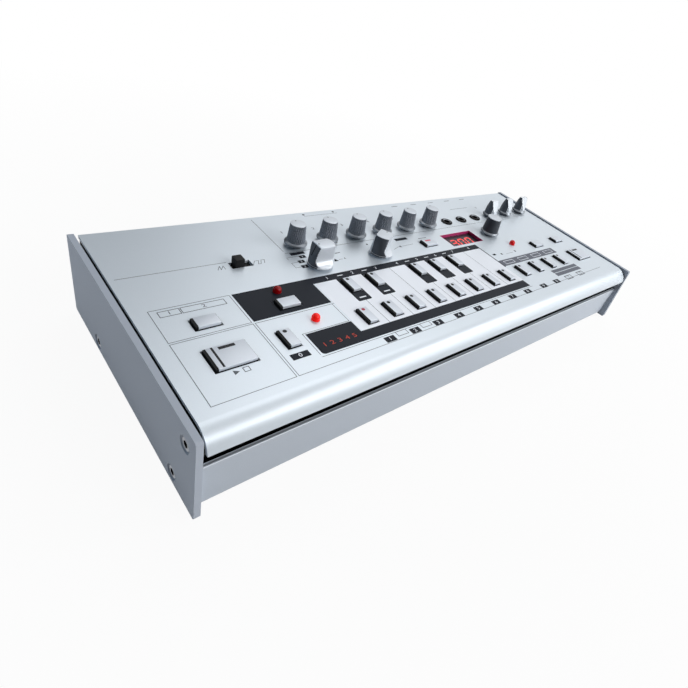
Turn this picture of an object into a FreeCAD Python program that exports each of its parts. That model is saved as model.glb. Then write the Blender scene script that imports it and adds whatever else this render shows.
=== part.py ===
import FreeCAD, Part
import math
import os
import re
import Sketcher
from FreeCAD import Placement, Rotation, Vector

# Bass synthesizer: a flat module of keys and knobs, held in a metal dock in which it tilts.
# Millimetres, +Z up, +X to the right along the panel, +Y to the back.
# Origin: on the table, in the middle of the dock's footprint.

# Driving dimensions: name, value, what it is.
SIZES = [
    ("dock_wide", 308.0, "over the outer faces of the end plates"),
    ("dock_deep", 128.0, "length of the end plates, front to back"),
    ("plate_thick", 2.4, "end plate"),
    ("plate_low", 1.5, "underside of the end plates"),
    ("plate_top", 41.5, "top edge of the end plates"),
    ("plate_corner", 1.2, "corner radius of the end plates"),
    ("foot_radius", 6.0, "rubber foot"),
    ("foot_apart_x", 270.0, "between the feet, across"),
    ("foot_apart_y", 100.0, "between the feet, front to back"),
    ("tray_low", 1.9, "underside of the tray, on the feet"),
    ("tray_thick", 1.4, "tray sheet"),
    ("tray_front", -59.8, "foot of the front wall"),
    ("tray_lean", 1.44, "forward lean of the front wall over its height"),
    ("tray_fold", 2.0, "outer radius along the bottom of the walls"),
    ("wall_top", 25.0, "top of the front wall"),
    ("tray_rear", 62.0, "outside of the rear upstand"),
    ("upstand_top", 8.6, "top of the rear upstand"),
    ("block_deep", 10.0, "screw block in the tray, front to back"),
    ("block_wide", 7.0, "screw block, along the screw"),
    ("block_top", 8.9, "top of the screw blocks"),
    ("front_block_y", -45.4, "front screw block"),
    ("front_block_z", 6.5, "screw in the front block"),
    ("rear_block_y", 32.6, "rear screw block"),
    ("rear_block_z", 5.8, "screw in the rear block"),
    ("screw_radius", 1.5, "shank of every screw"),
    ("screw_hole", 1.6, "clearance hole for a screw"),
    ("sink_radius", 3.5, "countersink in an end plate"),
    ("sink_gap", 0.08, "between a countersunk head and its seat"),
    ("sink_depth", 0.3, "face of a countersunk head below the plate's"),
    ("socket_radius", 1.45, "corners of the hexagon in a plate screw"),
    ("socket_deep", 1.2, "hexagon in a plate screw"),
    ("screw_long", 8.0, "plate screw"),
    ("run_gap", 0.05, "running clearance on a radius"),
    ("pivot_y", -55.9, "tilt pivot, the centre of the rolled front"),
    ("roll_outer", 7.9, "outer radius of the rolled front"),
    ("panel_top", 40.9, "top face of the panel"),
    ("panel_thick", 1.5, "panel sheet"),
    ("panel_wide", 300.4, "panel, left to right"),
    ("panel_rear", 62.8, "rear edge of the panel"),
    ("case_wide", 300.0, "lower case"),
    ("case_low", 10.2, "underside of the lower case"),
    ("case_wall", 2.0, "wall of the lower case"),
    ("case_front", -50.0, "front wall of the lower case"),
    ("case_rear", 62.0, "rear wall of the lower case, outside"),
    ("nose_radius", 5.3, "rounded nose of case and cheeks about the pivot"),
    ("cradle_thick", 1.0, "cradle sheet"),
    ("cheek_gap", 0.35, "between the case and a cheek of the cradle"),
    ("cheek_top", 38.3, "top edge of the cheeks"),
    ("cheek_cut", 6.0, "cut corner at the rear of the cheeks"),
    ("cradle_rear", 60.0, "rear edge of the cradle"),
    ("cradle_front", -48.0, "front edge of the cradle's floor"),
    ("window_x", 104.0, "centre of the cradle's two windows"),
    ("window_wide", 72.0, "window in the cradle's floor"),
    ("window_deep", 60.0, "window in the cradle's floor, front to back"),
    ("window_y", 1.0, "centre of the cradle's windows and of the battery well"),
    ("well_wide", 64.0, "battery well"),
    ("well_deep", 50.0, "battery well, front to back"),
    ("well_step", 2.0, "ledge that the battery cover rests on"),
    ("cover_thick", 1.2, "battery cover"),
    ("cover_gap", 0.2, "round the battery cover"),
    ("notch_wide", 14.0, "finger notch of the battery cover"),
    ("notch_deep", 3.0, "finger notch of the battery cover, front to back"),
    ("boss_radius", 3.5, "screw boss in the case"),
    ("head_radius", 2.8, "head of a case screw"),
    ("head_high", 1.6, "head of a case screw"),
    ("case_screw_long", 12.0, "case screw under its head"),
    ("case_screw_x", 110.0, "case screws, from the middle"),
    ("case_screw_y", 40.0, "case screws, from the middle"),
    ("inner_screw_x", 40.0, "the two inner case screws, from the middle"),
    ("screw_past", 2.0, "hole past the end of a case screw"),
    ("case_socket", 1.6, "corners of the hexagon in a case screw"),
    ("case_socket_deep", 0.9, "hexagon in a case screw"),
    ("board_top", 33.0, "upper face of the panel board"),
    ("board_thick", 1.6, "circuit boards"),
    ("board_wide", 292.0, "panel board"),
    ("board_front", -47.0, "panel board, front edge"),
    ("board_rear", 46.0, "panel board, rear edge"),
    ("main_board_low", 15.0, "underside of the main board"),
    ("main_board_wide", 200.0, "main board"),
    ("main_board_front", 14.0, "main board, front edge"),
    ("main_board_rear", 59.5, "main board, rear edge"),
    ("post_half", 3.0, "half the width of a post under the main board"),
    ("front_post_x", 64.0, "front posts, from the middle"),
    ("front_post_y", 20.0, "front posts"),
    ("rear_post_x", 90.0, "rear posts, from the middle"),
    ("rear_post_y", 54.0, "rear posts"),
    ("leg_y", 8.0, "hinge of the prop leg"),
    ("leg_z", 6.6, "hinge of the prop leg, over the table"),
    ("leg_long", 28.1, "hinge to tip of the prop leg"),
    ("leg_wide", 120.0, "prop leg"),
    ("leg_thick", 1.6, "prop leg"),
    ("leg_knuckle", 2.3, "rolled edge of the leg round its pin"),
    ("pin_past", 0.6, "leg pin past its lugs"),
    ("lug_gap", 0.4, "between the leg and its lugs"),
    ("lug_thick", 1.6, "lug on the tray"),
    ("lug_half", 3.4, "half the length of a lug"),
    ("lug_top", 8.9, "top of a lug"),
    ("gap_round_cap", 0.6, "between a button and its hole"),
    ("cap_proud", 1.5, "button over the panel"),
    ("cap_edge", 0.4, "chamfer round the top of a button"),
    ("large_proud", 1.3, "large button over the panel"),
    ("rim_gap", 0.1, "between a button's rim and the panel"),
    ("rim_out", 0.7, "rim of a button, past its hole"),
    ("rim_thick", 0.8, "rim of a button"),
    ("plunger_wide", 2.8, "stem under a button"),
    ("plunger_long", 0.8, "stem under a button"),
    ("switch_wide", 6.0, "contact switch"),
    ("switch_high", 3.2, "contact switch body"),
    ("switch_stem", 0.8, "stem of a contact switch"),
    ("switch_stem_wide", 2.6, "stem of a contact switch"),
    ("key_pitch", 15.27, "between the white keys"),
    ("key_x", -64.2, "first white key"),
    ("key_y", -32.05, "row of white keys"),
    ("key_hole_wide", 6.6, "hole of a key"),
    ("key_hole_deep", 11.3, "hole of a key, front to back"),
    ("sharp_y", -9.0, "row of sharp keys"),
    ("side_x", 60.0, "first of the four keys on the right"),
    ("side_pitch", 15.12, "between the four keys on the right"),
    ("small_hole_wide", 11.0, "hole of a small button"),
    ("small_hole_deep", 7.2, "hole of a small button, front to back"),
    ("large_hole_wide", 17.0, "hole of a large button"),
    ("large_hole_deep", 12.8, "hole of a large button, front to back"),
    ("groove_x", -4.85, "groove across a large button, from its middle"),
    ("groove_wide", 0.7, "groove across a large button"),
    ("groove_sunk", 0.25, "groove across a large button"),
    ("bar_x", 0.4, "recessed bar on a large button, from its middle"),
    ("bar_y", 4.25, "recessed bar on a large button, from its middle"),
    ("bar_wide", 6.3, "recessed bar on a large button"),
    ("bar_deep", 1.5, "recessed bar on a large button, front to back"),
    ("upper_y", -11.2, "row of small buttons"),
    ("left_large_x", -128.0, "large button on the left"),
    ("left_upper_x", -127.85, "small button above it"),
    ("left_small_x", -104.2, "narrow button beside it"),
    ("left_inner_x", -92.4, "small button left of the sharp keys"),
    ("centre_x", 18.1, "small button left of the display"),
    ("centre_y", 12.3, "small button left of the display"),
    ("right_first_x", 104.6, "small buttons on the right"),
    ("right_second_x", 130.8, "small buttons on the right"),
    ("right_large_x", 130.5, "large button on the right"),
    ("lamp_radius", 1.9, "lamp dome"),
    ("lamp_hole", 2.0, "hole of a lamp"),
    ("lamp_base", 1.1, "straight part of a lamp over the panel"),
    ("first_lamp_x", -92.2, "lamp in the dark field"),
    ("first_lamp_y", -1.9, "lamp in the dark field"),
    ("second_lamp_x", -87.1, "lamp over the dark block"),
    ("second_lamp_y", -25.2, "lamp over the dark block"),
    ("third_lamp_x", 83.1, "lamp right of the keys"),
    ("third_lamp_y", -5.1, "lamp right of the keys"),
    ("display_x", 48.6, "display"),
    ("display_y", 11.55, "display"),
    ("display_wide", 29.4, "opening of the display"),
    ("display_deep", 13.7, "opening of the display, front to back"),
    ("window_out", 1.8, "window past its opening"),
    ("window_sunk", 2.0, "window below the panel's face"),
    ("window_thick", 1.0, "window"),
    ("digits_wide", 27.0, "digit module"),
    ("digits_deep", 12.0, "digit module, front to back"),
    ("digits_high", 4.6, "digit module"),
    ("slide_x", -96.7, "slot of the slide switch"),
    ("slide_y", 22.7, "slot of the slide switch"),
    ("slot_wide", 10.2, "slot of the slide switch"),
    ("slot_deep", 5.0, "slot of the slide switch, front to back"),
    ("slider_wide", 4.3, "cap of the slide switch"),
    ("slider_deep", 4.6, "cap of the slide switch, front to back"),
    ("slider_proud", 4.0, "cap of the slide switch over the panel"),
    ("slider_travel", 3.0, "travel of the slide switch"),
    ("slider_plate", 4.5, "plate of the slide switch, past its cap, over the whole slot"),
    ("slide_body_out", 2.0, "body of the slide switch, past its slot"),
    ("slide_body_high", 4.0, "body of the slide switch"),
    ("knob_y", 31.3, "rear row of knobs"),
    ("dial_x", -63.0, "first of the six dials"),
    ("dial_pitch", 19.58, "between the dials"),
    ("selector_y", 10.95, "front row of knobs"),
    ("left_selector_x", -61.3, "left selector"),
    ("right_selector_x", -21.6, "right selector"),
    ("value_x", 76.0, "value knob"),
    ("value_y", 10.7, "value knob"),
    ("effect_x", 100.5, "first of the three effect knobs"),
    ("effect_pitch", 18.6, "between the effect knobs"),
    ("knob_lift", 1.1, "gap under a knob"),
    ("knob_high", 11.7, "knob, underside to top"),
    ("knob_edge", 0.3, "bevel round the top of a knob"),
    ("dial_skirt", 6.5, "radius of a dial's collar"),
    ("dial_collar", 2.0, "height of a dial's collar"),
    ("dial_foot", 4.85, "radius of a dial's body above the collar"),
    ("dial_head", 3.95, "radius of a dial's top"),
    ("selector_skirt", 6.6, "radius of a selector's flange"),
    ("selector_flange", 1.3, "height of a selector's flange"),
    ("selector_foot", 6.1, "radius of a selector's body above the flange"),
    ("selector_head", 5.8, "radius of a selector's top"),
    ("selector_top", 3.9, "half the width of a selector's bar, at the top"),
    ("selector_waist", 3.1, "half the width of a selector's bar, at its narrowest"),
    ("selector_scoop", 3.5, "radius of the hollow along a selector's flanks"),
    ("nose_top", 4.0, "from a selector's axis to its slanted nose, at the top"),
    ("nose_slant", 0.35, "slant of the nose, outward for each millimetre down"),
    ("nose_low", 5.6, "lower end of the slanted nose"),
    ("nose_groove", 0.4, "groove down the nose"),
    ("collar_high", 1.2, "collar of an effect knob and of the value knob"),
    ("collar_slope", 0.5, "height of the slope on top of that collar"),
    ("effect_skirt", 5.5, "radius of an effect knob's collar"),
    ("effect_foot", 4.4, "radius of an effect knob's body above the collar"),
    ("effect_head", 3.6, "radius of an effect knob's top"),
    ("effect_ridge", 2.4, "width of the ridge on top"),
    ("flat_low", 4.0, "lower end of an effect knob's flats"),
    ("value_skirt", 6.75, "radius of the value knob's collar"),
    ("value_foot", 5.55, "radius of the value knob's body above the collar"),
    ("value_head", 4.75, "radius of the value knob's top"),
    ("stem_radius", 3.0, "stem of a knob"),
    ("stem_low", 34.5, "end of a knob's stem"),
    ("bore_past", 0.3, "bore of a pot below the stem's end"),
    ("bushing_radius", 3.5, "bushing of a pot, in the panel"),
    ("bushing_hole", 3.6, "hole of a bushing in the panel"),
    ("pot_wide", 9.6, "pot body"),
    ("pot_high", 5.4, "pot body"),
    ("volume_pot_y", 52.0, "middle of the volume control's pot"),
    ("volume_pot_deep", 8.0, "volume control's pot, front to back"),
    ("jack_x", 54.8, "first of the three top jacks"),
    ("jack_pitch", 15.05, "between the top jacks"),
    ("jack_y", 32.2, "top jacks"),
    ("jack_ring", 3.9, "radius of a jack's ring"),
    ("jack_ring_high", 0.5, "ring over the panel"),
    ("jack_barrel", 3.0, "radius of a jack's barrel"),
    ("jack_bore", 1.8, "radius of a jack's bore"),
    ("jack_bore_deep", 13.0, "depth of a jack's bore"),
    ("jack_gap", 0.6, "between a jack body and the panel"),
    ("jack_body_wide", 8.0, "jack body"),
    ("jack_body_deep", 9.0, "jack body, front to back"),
    ("jack_body_high", 12.0, "jack body"),
    ("rear_reach", 1.8, "volume knob and power switch, past the rear wall"),
    ("volume_x", 70.0, "volume control in the rear wall"),
    ("volume_z", 21.8, "volume control in the rear wall"),
    ("volume_radius", 5.5, "volume knob"),
    ("volume_stem", 2.0, "stem of the volume knob"),
    ("volume_in", 1.5, "volume knob inside the rear wall"),
    ("volume_reach", 8.0, "stem of the volume knob, from the rear wall"),
    ("power_x", -84.0, "power switch in the rear wall"),
    ("power_z", 20.0, "power switch in the rear wall"),
    ("power_wide", 3.4, "cap of the power switch"),
    ("power_high", 2.8, "cap of the power switch"),
    ("power_travel", 3.0, "travel of the power switch"),
    ("power_gap", 0.4, "round the power switch in the rear wall"),
    ("power_in", 4.0, "cap of the power switch inside the rear wall"),
    ("power_plate", 0.8, "plate of the power switch"),
    ("power_plate_out", 1.0, "plate of the power switch, past its cap"),
    ("power_body_y", 54.0, "middle of the power switch's body"),
    ("power_body_wide", 11.0, "body of the power switch"),
    ("power_body_deep", 7.0, "body of the power switch, front to back, and high"),
    ("round_socket_radius", 8.0, "five-pole socket"),
    ("round_socket_deep", 12.0, "five-pole socket"),
    ("round_ring", 6.8, "inside of the five-pole socket's shell"),
    ("round_ring_deep", 8.0, "depth inside the five-pole socket's shell"),
    ("round_core", 6.0, "core that holds the five poles"),
    ("round_core_sunk", 0.4, "core below the shell's edge"),
    ("pole_circle", 3.5, "circle of the five poles"),
    ("pole_radius", 0.8, "hole of a pole"),
    ("pole_deep", 6.0, "hole of a pole"),
    ("round_socket_x", -36.0, "first five-pole socket"),
    ("round_socket_pitch", 24.0, "between the five-pole sockets"),
    ("rear_jack_x", 14.0, "first rear jack"),
    ("rear_jack_pitch", 16.0, "between the rear jacks"),
    ("rear_jack_deep", 12.0, "rear jack"),
    ("rear_barrel", 8.0, "barrel of a rear jack, from the rear wall's face"),
    ("rear_barrel_past", 0.2, "barrel of a rear jack, past the rear wall"),
    ("opening_gap", 0.1, "between a socket and its opening"),
    ("data_x", -62.0, "data socket"),
    ("data_wide", 12.0, "data socket"),
    ("data_high", 10.8, "data socket"),
    ("data_deep", 14.0, "data socket, front to back"),
    ("data_wall", 1.2, "wall of the data socket"),
    ("data_mouth", 8.5, "depth of the data socket's mouth"),
    ("data_tongue", 3.0, "tongue in the data socket, high and in from its walls"),
]

doc = FreeCAD.newDocument("BassSynthesizer")
sheet = doc.addObject("Spreadsheet::Sheet", "Sizes")
for row, (alias, number, note) in enumerate(SIZES, start=1):
    sheet.set("A%d" % row, alias)
    sheet.set("B%d" % row, str(number))
    sheet.set("C%d" % row, note)
    sheet.setAlias("B%d" % row, alias)
doc.recompute()
ALIASES = {alias for alias, number, note in SIZES}
PIECES = []


def bound(text):
    """Write an expression on size names as one that reads the sheet."""
    return re.sub(r"[a-z][a-z_0-9]*", lambda word: in_sheet(word.group(0)), text)


def in_sheet(word):
    return "Sizes." + word if word in ALIASES else word


def value(text):
    """Work out an expression on size names."""
    return float(sheet.evalExpression(bound(text)))


def tie(thing, setting, text):
    """Bind one setting of an object to the sheet."""
    thing.setExpression(setting, bound(text))


def place(thing, x, y, z, rotation=Rotation()):
    """Set an object's Placement, with its base bound to the sheet."""
    thing.Placement = Placement(Vector(value(x), value(y), value(z)), rotation)
    for axis, text in zip("xyz", (x, y, z)):
        tie(thing, "Placement.Base." + axis, text)


def keep(thing, label):
    """Name an object as one of the finished pieces."""
    thing.Label = label
    PIECES.append(thing)
    return thing


# Sketches and features of a body

def new_body(label):
    return keep(doc.addObject("PartDesign::Body", label), label)


def new_sketch(body, plane, offset="0"):
    """Make a sketch on one of the body's own planes, moved along the plane's normal."""
    sketch = body.newObject("Sketcher::SketchObject", body.Label + "_sketch")
    planes = {feature.Role: feature for feature in body.Origin.OriginFeatures}
    sketch.AttachmentSupport = [(planes[plane], "")]
    sketch.MapMode = "FlatFace"
    tie(sketch, "AttachmentOffset.Base.z", offset)
    return sketch


def fix_point(sketch, geometry, end, x, y):
    """Hold one point of the sketch at a place that the sheet gives."""
    for kind, text in (("DistanceX", x), ("DistanceY", y)):
        rule = sketch.addConstraint(Sketcher.Constraint(kind, -1, 1, geometry, end, value(text)))
        name = "%s%d" % (kind, rule)
        sketch.renameConstraint(rule, name)
        tie(sketch, "Constraints." + name, text)


def fix_radius(sketch, geometry, radius):
    rule = sketch.addConstraint(Sketcher.Constraint("Radius", geometry, value(radius)))
    name = "Radius%d" % rule
    sketch.renameConstraint(rule, name)
    tie(sketch, "Constraints." + name, radius)


def arc_between(start, end, radius, turn):
    """Make the arc of under a half turn that leaves start and turns left or right to end."""
    chord = end - start
    side = Vector(-chord.y, chord.x, 0).normalize()
    if turn == "right":
        side = side * -1
    centre = start + chord * 0.5 + side * math.sqrt(radius ** 2 - chord.Length ** 2 / 4)
    first = math.atan2(start.y - centre.y, start.x - centre.x)
    last = math.atan2(end.y - centre.y, end.x - centre.x)
    if turn == "right":
        first, last = last, first
    return Part.ArcOfCircle(Part.Circle(centre, Vector(0, 0, 1), radius), first, last)


def outline(sketch, corners):
    """Draw a closed outline. A corner is (x, y), or (x, y, radius, turn) where an arc leaves it."""
    base = sketch.GeometryCount
    count = len(corners)
    points = [Vector(value(corner[0]), value(corner[1]), 0) for corner in corners]
    starts = []
    ends = []
    for index, corner in enumerate(corners):
        start = points[index]
        end = points[(index + 1) % count]
        if len(corner) == 4:
            sketch.addGeometry(arc_between(start, end, value(corner[2]), corner[3]), False)
        else:
            sketch.addGeometry(Part.LineSegment(start, end), False)
        backward = len(corner) == 4 and corner[3] == "right"
        starts.append(2 if backward else 1)
        ends.append(1 if backward else 2)
    for index, corner in enumerate(corners):
        after = (index + 1) % count
        joint = (base + index, ends[index], base + after, starts[after])
        sketch.addConstraint(Sketcher.Constraint("Coincident", *joint))
        fix_point(sketch, base + index, starts[index], corner[0], corner[1])
        if len(corner) == 4:
            fix_radius(sketch, base + index, corner[2])


def rectangle(sketch, x, y, wide, deep):
    left = "%s - (%s) / 2" % (x, wide)
    right = "%s + (%s) / 2" % (x, wide)
    front = "%s - (%s) / 2" % (y, deep)
    rear = "%s + (%s) / 2" % (y, deep)
    outline(sketch, [(left, front), (right, front), (right, rear), (left, rear)])


def circle(sketch, x, y, radius):
    index = sketch.GeometryCount
    centre = Vector(value(x), value(y), 0)
    sketch.addGeometry(Part.Circle(centre, Vector(0, 0, 1), value(radius)), False)
    fix_point(sketch, index, 3, x, y)
    fix_radius(sketch, index, radius)


def pad(body, sketch, length, sides="One side", reverse=False):
    feature = body.newObject("PartDesign::Pad", body.Label + "_pad")
    feature.Profile = sketch
    feature.SideType = sides
    feature.Reversed = reverse
    tie(feature, "Length", length)
    doc.recompute()
    return feature


def pocket(body, sketch, depth=None, reverse=False):
    """Cut a sketch into the body, to a depth or through all, and check that it cuts."""
    before = body.Shape.Volume
    feature = body.newObject("PartDesign::Pocket", body.Label + "_pocket")
    feature.Profile = sketch
    feature.Reversed = reverse
    if depth is None:
        feature.Type = "ThroughAll"
    else:
        tie(feature, "Length", depth)
    doc.recompute()
    if not body.Shape.Volume < before - 0.001:
        raise RuntimeError("a pocket in %s cuts nothing" % body.Label)
    return feature


def row_of(body, feature, sketch, spacing, count):
    """Repeat a feature along the sketch's horizontal axis."""
    pattern = body.newObject("PartDesign::LinearPattern", body.Label + "_row")
    pattern.Originals = [feature]
    pattern.Direction = (sketch, ["H_Axis"])
    pattern.Occurrences = count
    tie(pattern, "Length", "(%s) * %d" % (spacing, count - 1))
    body.Tip = pattern
    doc.recompute()


def turned(body, corners, plane="XZ_Plane", axis="V_Axis"):
    """Turn a half profile round one axis of its sketch."""
    sketch = new_sketch(body, plane)
    outline(sketch, corners)
    feature = body.newObject("PartDesign::Revolution", body.Label + "_turned")
    feature.Profile = sketch
    feature.ReferenceAxis = (sketch, [axis])
    feature.Angle = 360
    doc.recompute()
    return feature


def top_face(shape):
    """Name the flat face that looks up and lies highest."""
    heights = {}
    for index, face in enumerate(shape.Faces, start=1):
        if face.BoundBox.ZLength < 0.001:
            heights["Face%d" % index] = face.BoundBox.ZMax
    return max(heights, key=heights.get)


def edges_along_x(shape, places):
    """Name the edges that run along X through the given (y, z) places."""
    names = []
    for index, edge in enumerate(shape.Edges, start=1):
        box = edge.BoundBox
        if box.YLength > 0.001 or box.ZLength > 0.001:
            continue
        for y, z in places:
            if abs(box.YMin - value(y)) < 0.01 and abs(box.ZMin - value(z)) < 0.01:
                names.append("Edge%d" % index)
    return names


def soften(body, kind, feature, names, amount):
    """Round ("Fillet") or bevel ("Chamfer") the named edges or faces."""
    finish = body.newObject("PartDesign::" + kind, body.Label + "_" + kind.lower())
    finish.Base = (feature, names)
    tie(finish, "Radius" if kind == "Fillet" else "Size", amount)
    doc.recompute()
    return finish


# Plain solids, for what is hidden inside

def box_at(name, x, y, low, wide, deep, high):
    """Make a box centred on x and y that stands on low."""
    box = doc.addObject("Part::Box", name)
    tie(box, "Length", wide)
    tie(box, "Width", deep)
    tie(box, "Height", high)
    place(box, "%s - (%s) / 2" % (x, wide), "%s - (%s) / 2" % (y, deep), low)
    return box


def rod_at(name, x, y, z, radius, long, rotation=Rotation()):
    rod = doc.addObject("Part::Cylinder", name)
    tie(rod, "Radius", radius)
    tie(rod, "Height", long)
    place(rod, x, y, z, rotation)
    return rod


def hexagon_at(name, x, y, z, radius, long, rotation=Rotation()):
    """Make a six-sided rod. radius reaches its corners."""
    prism = doc.addObject("Part::Prism", name)
    prism.Polygon = 6
    tie(prism, "Circumradius", radius)
    tie(prism, "Height", long)
    place(prism, x, y, z, rotation)
    return prism


def joined(name, parts):
    whole = doc.addObject("Part::MultiFuse", name)
    whole.Shapes = parts
    return whole


def less(name, base, tools):
    """Cut every tool out of the base."""
    for tool in tools:
        rest = doc.addObject("Part::Cut", name)
        rest.Base = base
        rest.Tool = tool
        base = rest
    return base


def group(label, parts):
    """Keep several separate solids as one piece."""
    whole = doc.addObject("Part::Compound", label)
    whole.Links = parts
    return keep(whole, label)


PIVOT_Z = "panel_top - roll_outer"
PANEL_UNDER = "panel_top - panel_thick"
KEY_NAMES = ["white_key_%d" % number for number in range(1, 9)]
SHARP_STEPS = [0.5, 1.5, 3.5, 4.5, 5.5]
REARWARD = Rotation(Vector(1, 0, 0), -90)
LEFTWARD = Rotation(Vector(0, 1, 0), -90)
RIGHTWARD = Rotation(Vector(0, 1, 0), 90)
SIDES = (("left", "-"), ("right", ""))
SELECTOR_TURN = -147.5
PLATE_SCREWS = [
    ("pivot_y", PIVOT_Z),
    ("front_block_y", "front_block_z"),
    ("rear_block_y", "rear_block_z"),
]

# Every button: name, x, y, width and length of its hole.
BUTTONS = []
for index, name in enumerate(KEY_NAMES):
    place_x = "key_x + key_pitch * %d" % index
    BUTTONS.append((name, place_x, "key_y", "key_hole_wide", "key_hole_deep"))
for index, steps in enumerate(SHARP_STEPS, start=1):
    place_x = "key_x + key_pitch * %.1f" % steps
    BUTTONS.append(("sharp_key_%d" % index, place_x, "sharp_y", "key_hole_wide", "key_hole_deep"))
for index in range(4):
    place_x = "side_x + side_pitch * %d" % index
    BUTTONS.append(("side_key_%d" % (index + 1), place_x, "key_y", "key_hole_wide", "key_hole_deep"))
SMALL = ("small_hole_wide", "small_hole_deep")
LARGE = ("large_hole_wide", "large_hole_deep")
BUTTONS += [
    ("left_small_key", "left_small_x", "key_y", "key_hole_wide", "key_hole_deep"),
    ("left_upper_button", "left_upper_x", "upper_y", *SMALL),
    ("left_inner_button", "left_inner_x", "upper_y", *SMALL),
    ("centre_button", "centre_x", "centre_y", *SMALL),
    ("right_upper_button_1", "right_first_x", "upper_y", *SMALL),
    ("right_upper_button_2", "right_second_x", "upper_y", *SMALL),
    ("left_large_button", "left_large_x", "key_y", *LARGE),
    ("right_large_button", "right_large_x", "key_y", *LARGE),
]
LAMPS = [
    ("first_lamp_x", "first_lamp_y"),
    ("second_lamp_x", "second_lamp_y"),
    ("third_lamp_x", "third_lamp_y"),
]

# Every turned control on the panel: name, x, y, kind.
KNOBS = []
for index in range(6):
    KNOBS.append(("dial_%d" % (index + 1), "dial_x + dial_pitch * %d" % index, "knob_y", "dial"))
for index in range(3):
    place_x = "effect_x + effect_pitch * %d" % index
    KNOBS.append(("effect_knob_%d" % (index + 1), place_x, "knob_y", "effect"))
KNOBS += [
    ("left_selector", "left_selector_x", "selector_y", "selector"),
    ("right_selector", "right_selector_x", "selector_y", "selector"),
    ("value_knob", "value_x", "value_y", "value"),
]
JACKS = ["jack_x + jack_pitch * %d" % index for index in range(3)]
CASE_SCREWS = [
    ("-case_screw_x", "-case_screw_y"),
    ("case_screw_x", "-case_screw_y"),
    ("-case_screw_x", "case_screw_y"),
    ("case_screw_x", "case_screw_y"),
    ("-inner_screw_x", "-case_screw_y"),
    ("inner_screw_x", "-case_screw_y"),
]
POSTS = [
    ("-front_post_x", "front_post_y"),
    ("front_post_x", "front_post_y"),
    ("-rear_post_x", "rear_post_y"),
    ("rear_post_x", "rear_post_y"),
]
REAR_JACKS = ["rear_jack_x + rear_jack_pitch * %d" % index for index in range(3)]
ROUND_SOCKETS = ["round_socket_x + round_socket_pitch * %d" % index for index in range(2)]
MAIN_TOP = "main_board_low + board_thick"


# The dock

def make_dock_tray():
    """One bent sheet: a leaning front wall, the floor and a low rear upstand."""
    body = new_body("dock_tray")
    sketch = new_sketch(body, "YZ_Plane")
    inner_front = "tray_front + tray_thick - tray_lean * tray_thick / (wall_top - tray_low)"
    outline(sketch, [
        ("tray_rear", "upstand_top"),
        ("tray_rear - tray_thick", "upstand_top"),
        ("tray_rear - tray_thick", "tray_low + tray_thick"),
        (inner_front, "tray_low + tray_thick"),
        ("tray_front - tray_lean + tray_thick", "wall_top"),
        ("tray_front - tray_lean", "wall_top"),
        ("tray_front", "tray_low"),
        ("tray_rear", "tray_low"),
    ])
    sheet_metal = pad(body, sketch, "dock_wide - 2 * plate_thick", sides="Symmetric")
    outer = edges_along_x(sheet_metal.Shape, [("tray_front", "tray_low"), ("tray_rear", "tray_low")])
    bent = soften(body, "Fillet", sheet_metal, outer, "tray_fold")
    inner = edges_along_x(bent.Shape, [(inner_front, "tray_low + tray_thick"),
                                       ("tray_rear - tray_thick", "tray_low + tray_thick")])
    soften(body, "Fillet", bent, inner, "tray_fold - tray_thick")

    blocks = new_sketch(body, "XY_Plane", "tray_low + tray_thick")
    for side, sign in SIDES:
        for y in ("front_block_y", "rear_block_y"):
            place_x = "%s(dock_wide / 2 - plate_thick - block_wide / 2)" % sign
            rectangle(blocks, place_x, y, "block_wide", "block_deep")
    pad(body, blocks, "block_top - tray_low - tray_thick")
    lugs = new_sketch(body, "XY_Plane", "tray_low + tray_thick")
    for side, sign in SIDES:
        place_x = "%s(leg_wide / 2 + lug_gap + lug_thick / 2)" % sign
        rectangle(lugs, place_x, "leg_y", "lug_thick", "2 * lug_half")
    pad(body, lugs, "lug_top - tray_low - tray_thick")

    threads = new_sketch(body, "YZ_Plane", "-dock_wide / 2")
    circle(threads, "front_block_y", "front_block_z", "screw_hole")
    circle(threads, "rear_block_y", "rear_block_z", "screw_hole")
    pocket(body, threads, reverse=True)
    pin_holes = new_sketch(body, "YZ_Plane", "-dock_wide / 2")
    circle(pin_holes, "leg_y", "leg_z", "screw_radius + run_gap")
    pocket(body, pin_holes, reverse=True)


def make_end_plate(side, sign):
    """A flat plate with rounded corners and three countersunk holes."""
    body = new_body(side + "_end_plate")
    sketch = new_sketch(body, "YZ_Plane", "%s(dock_wide / 2)" % sign)
    rectangle(sketch, "0", "(plate_low + plate_top) / 2", "dock_deep", "plate_top - plate_low")
    plate = pad(body, sketch, "plate_thick", reverse=side == "right")
    corners = edges_along_x(plate.Shape, [(y, z) for y in ("-dock_deep / 2", "dock_deep / 2")
                                          for z in ("plate_low", "plate_top")])
    soften(body, "Fillet", plate, corners, "plate_corner")
    holes = new_sketch(body, "YZ_Plane", "%s(dock_wide / 2)" % sign)
    for y, z in PLATE_SCREWS:
        circle(holes, y, z, "screw_hole")
    doc.recompute()
    drilled = body.newObject("PartDesign::Hole", body.Label + "_holes")
    drilled.Profile = holes
    drilled.ThreadType = "None"
    drilled.DepthType = "ThroughAll"
    drilled.HoleCutType = "Countersink"
    drilled.HoleCutCountersinkAngle = 90
    drilled.Reversed = side == "left"
    tie(drilled, "Diameter", "2 * screw_hole")
    tie(drilled, "HoleCutDiameter", "2 * sink_radius")
    doc.recompute()


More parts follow.
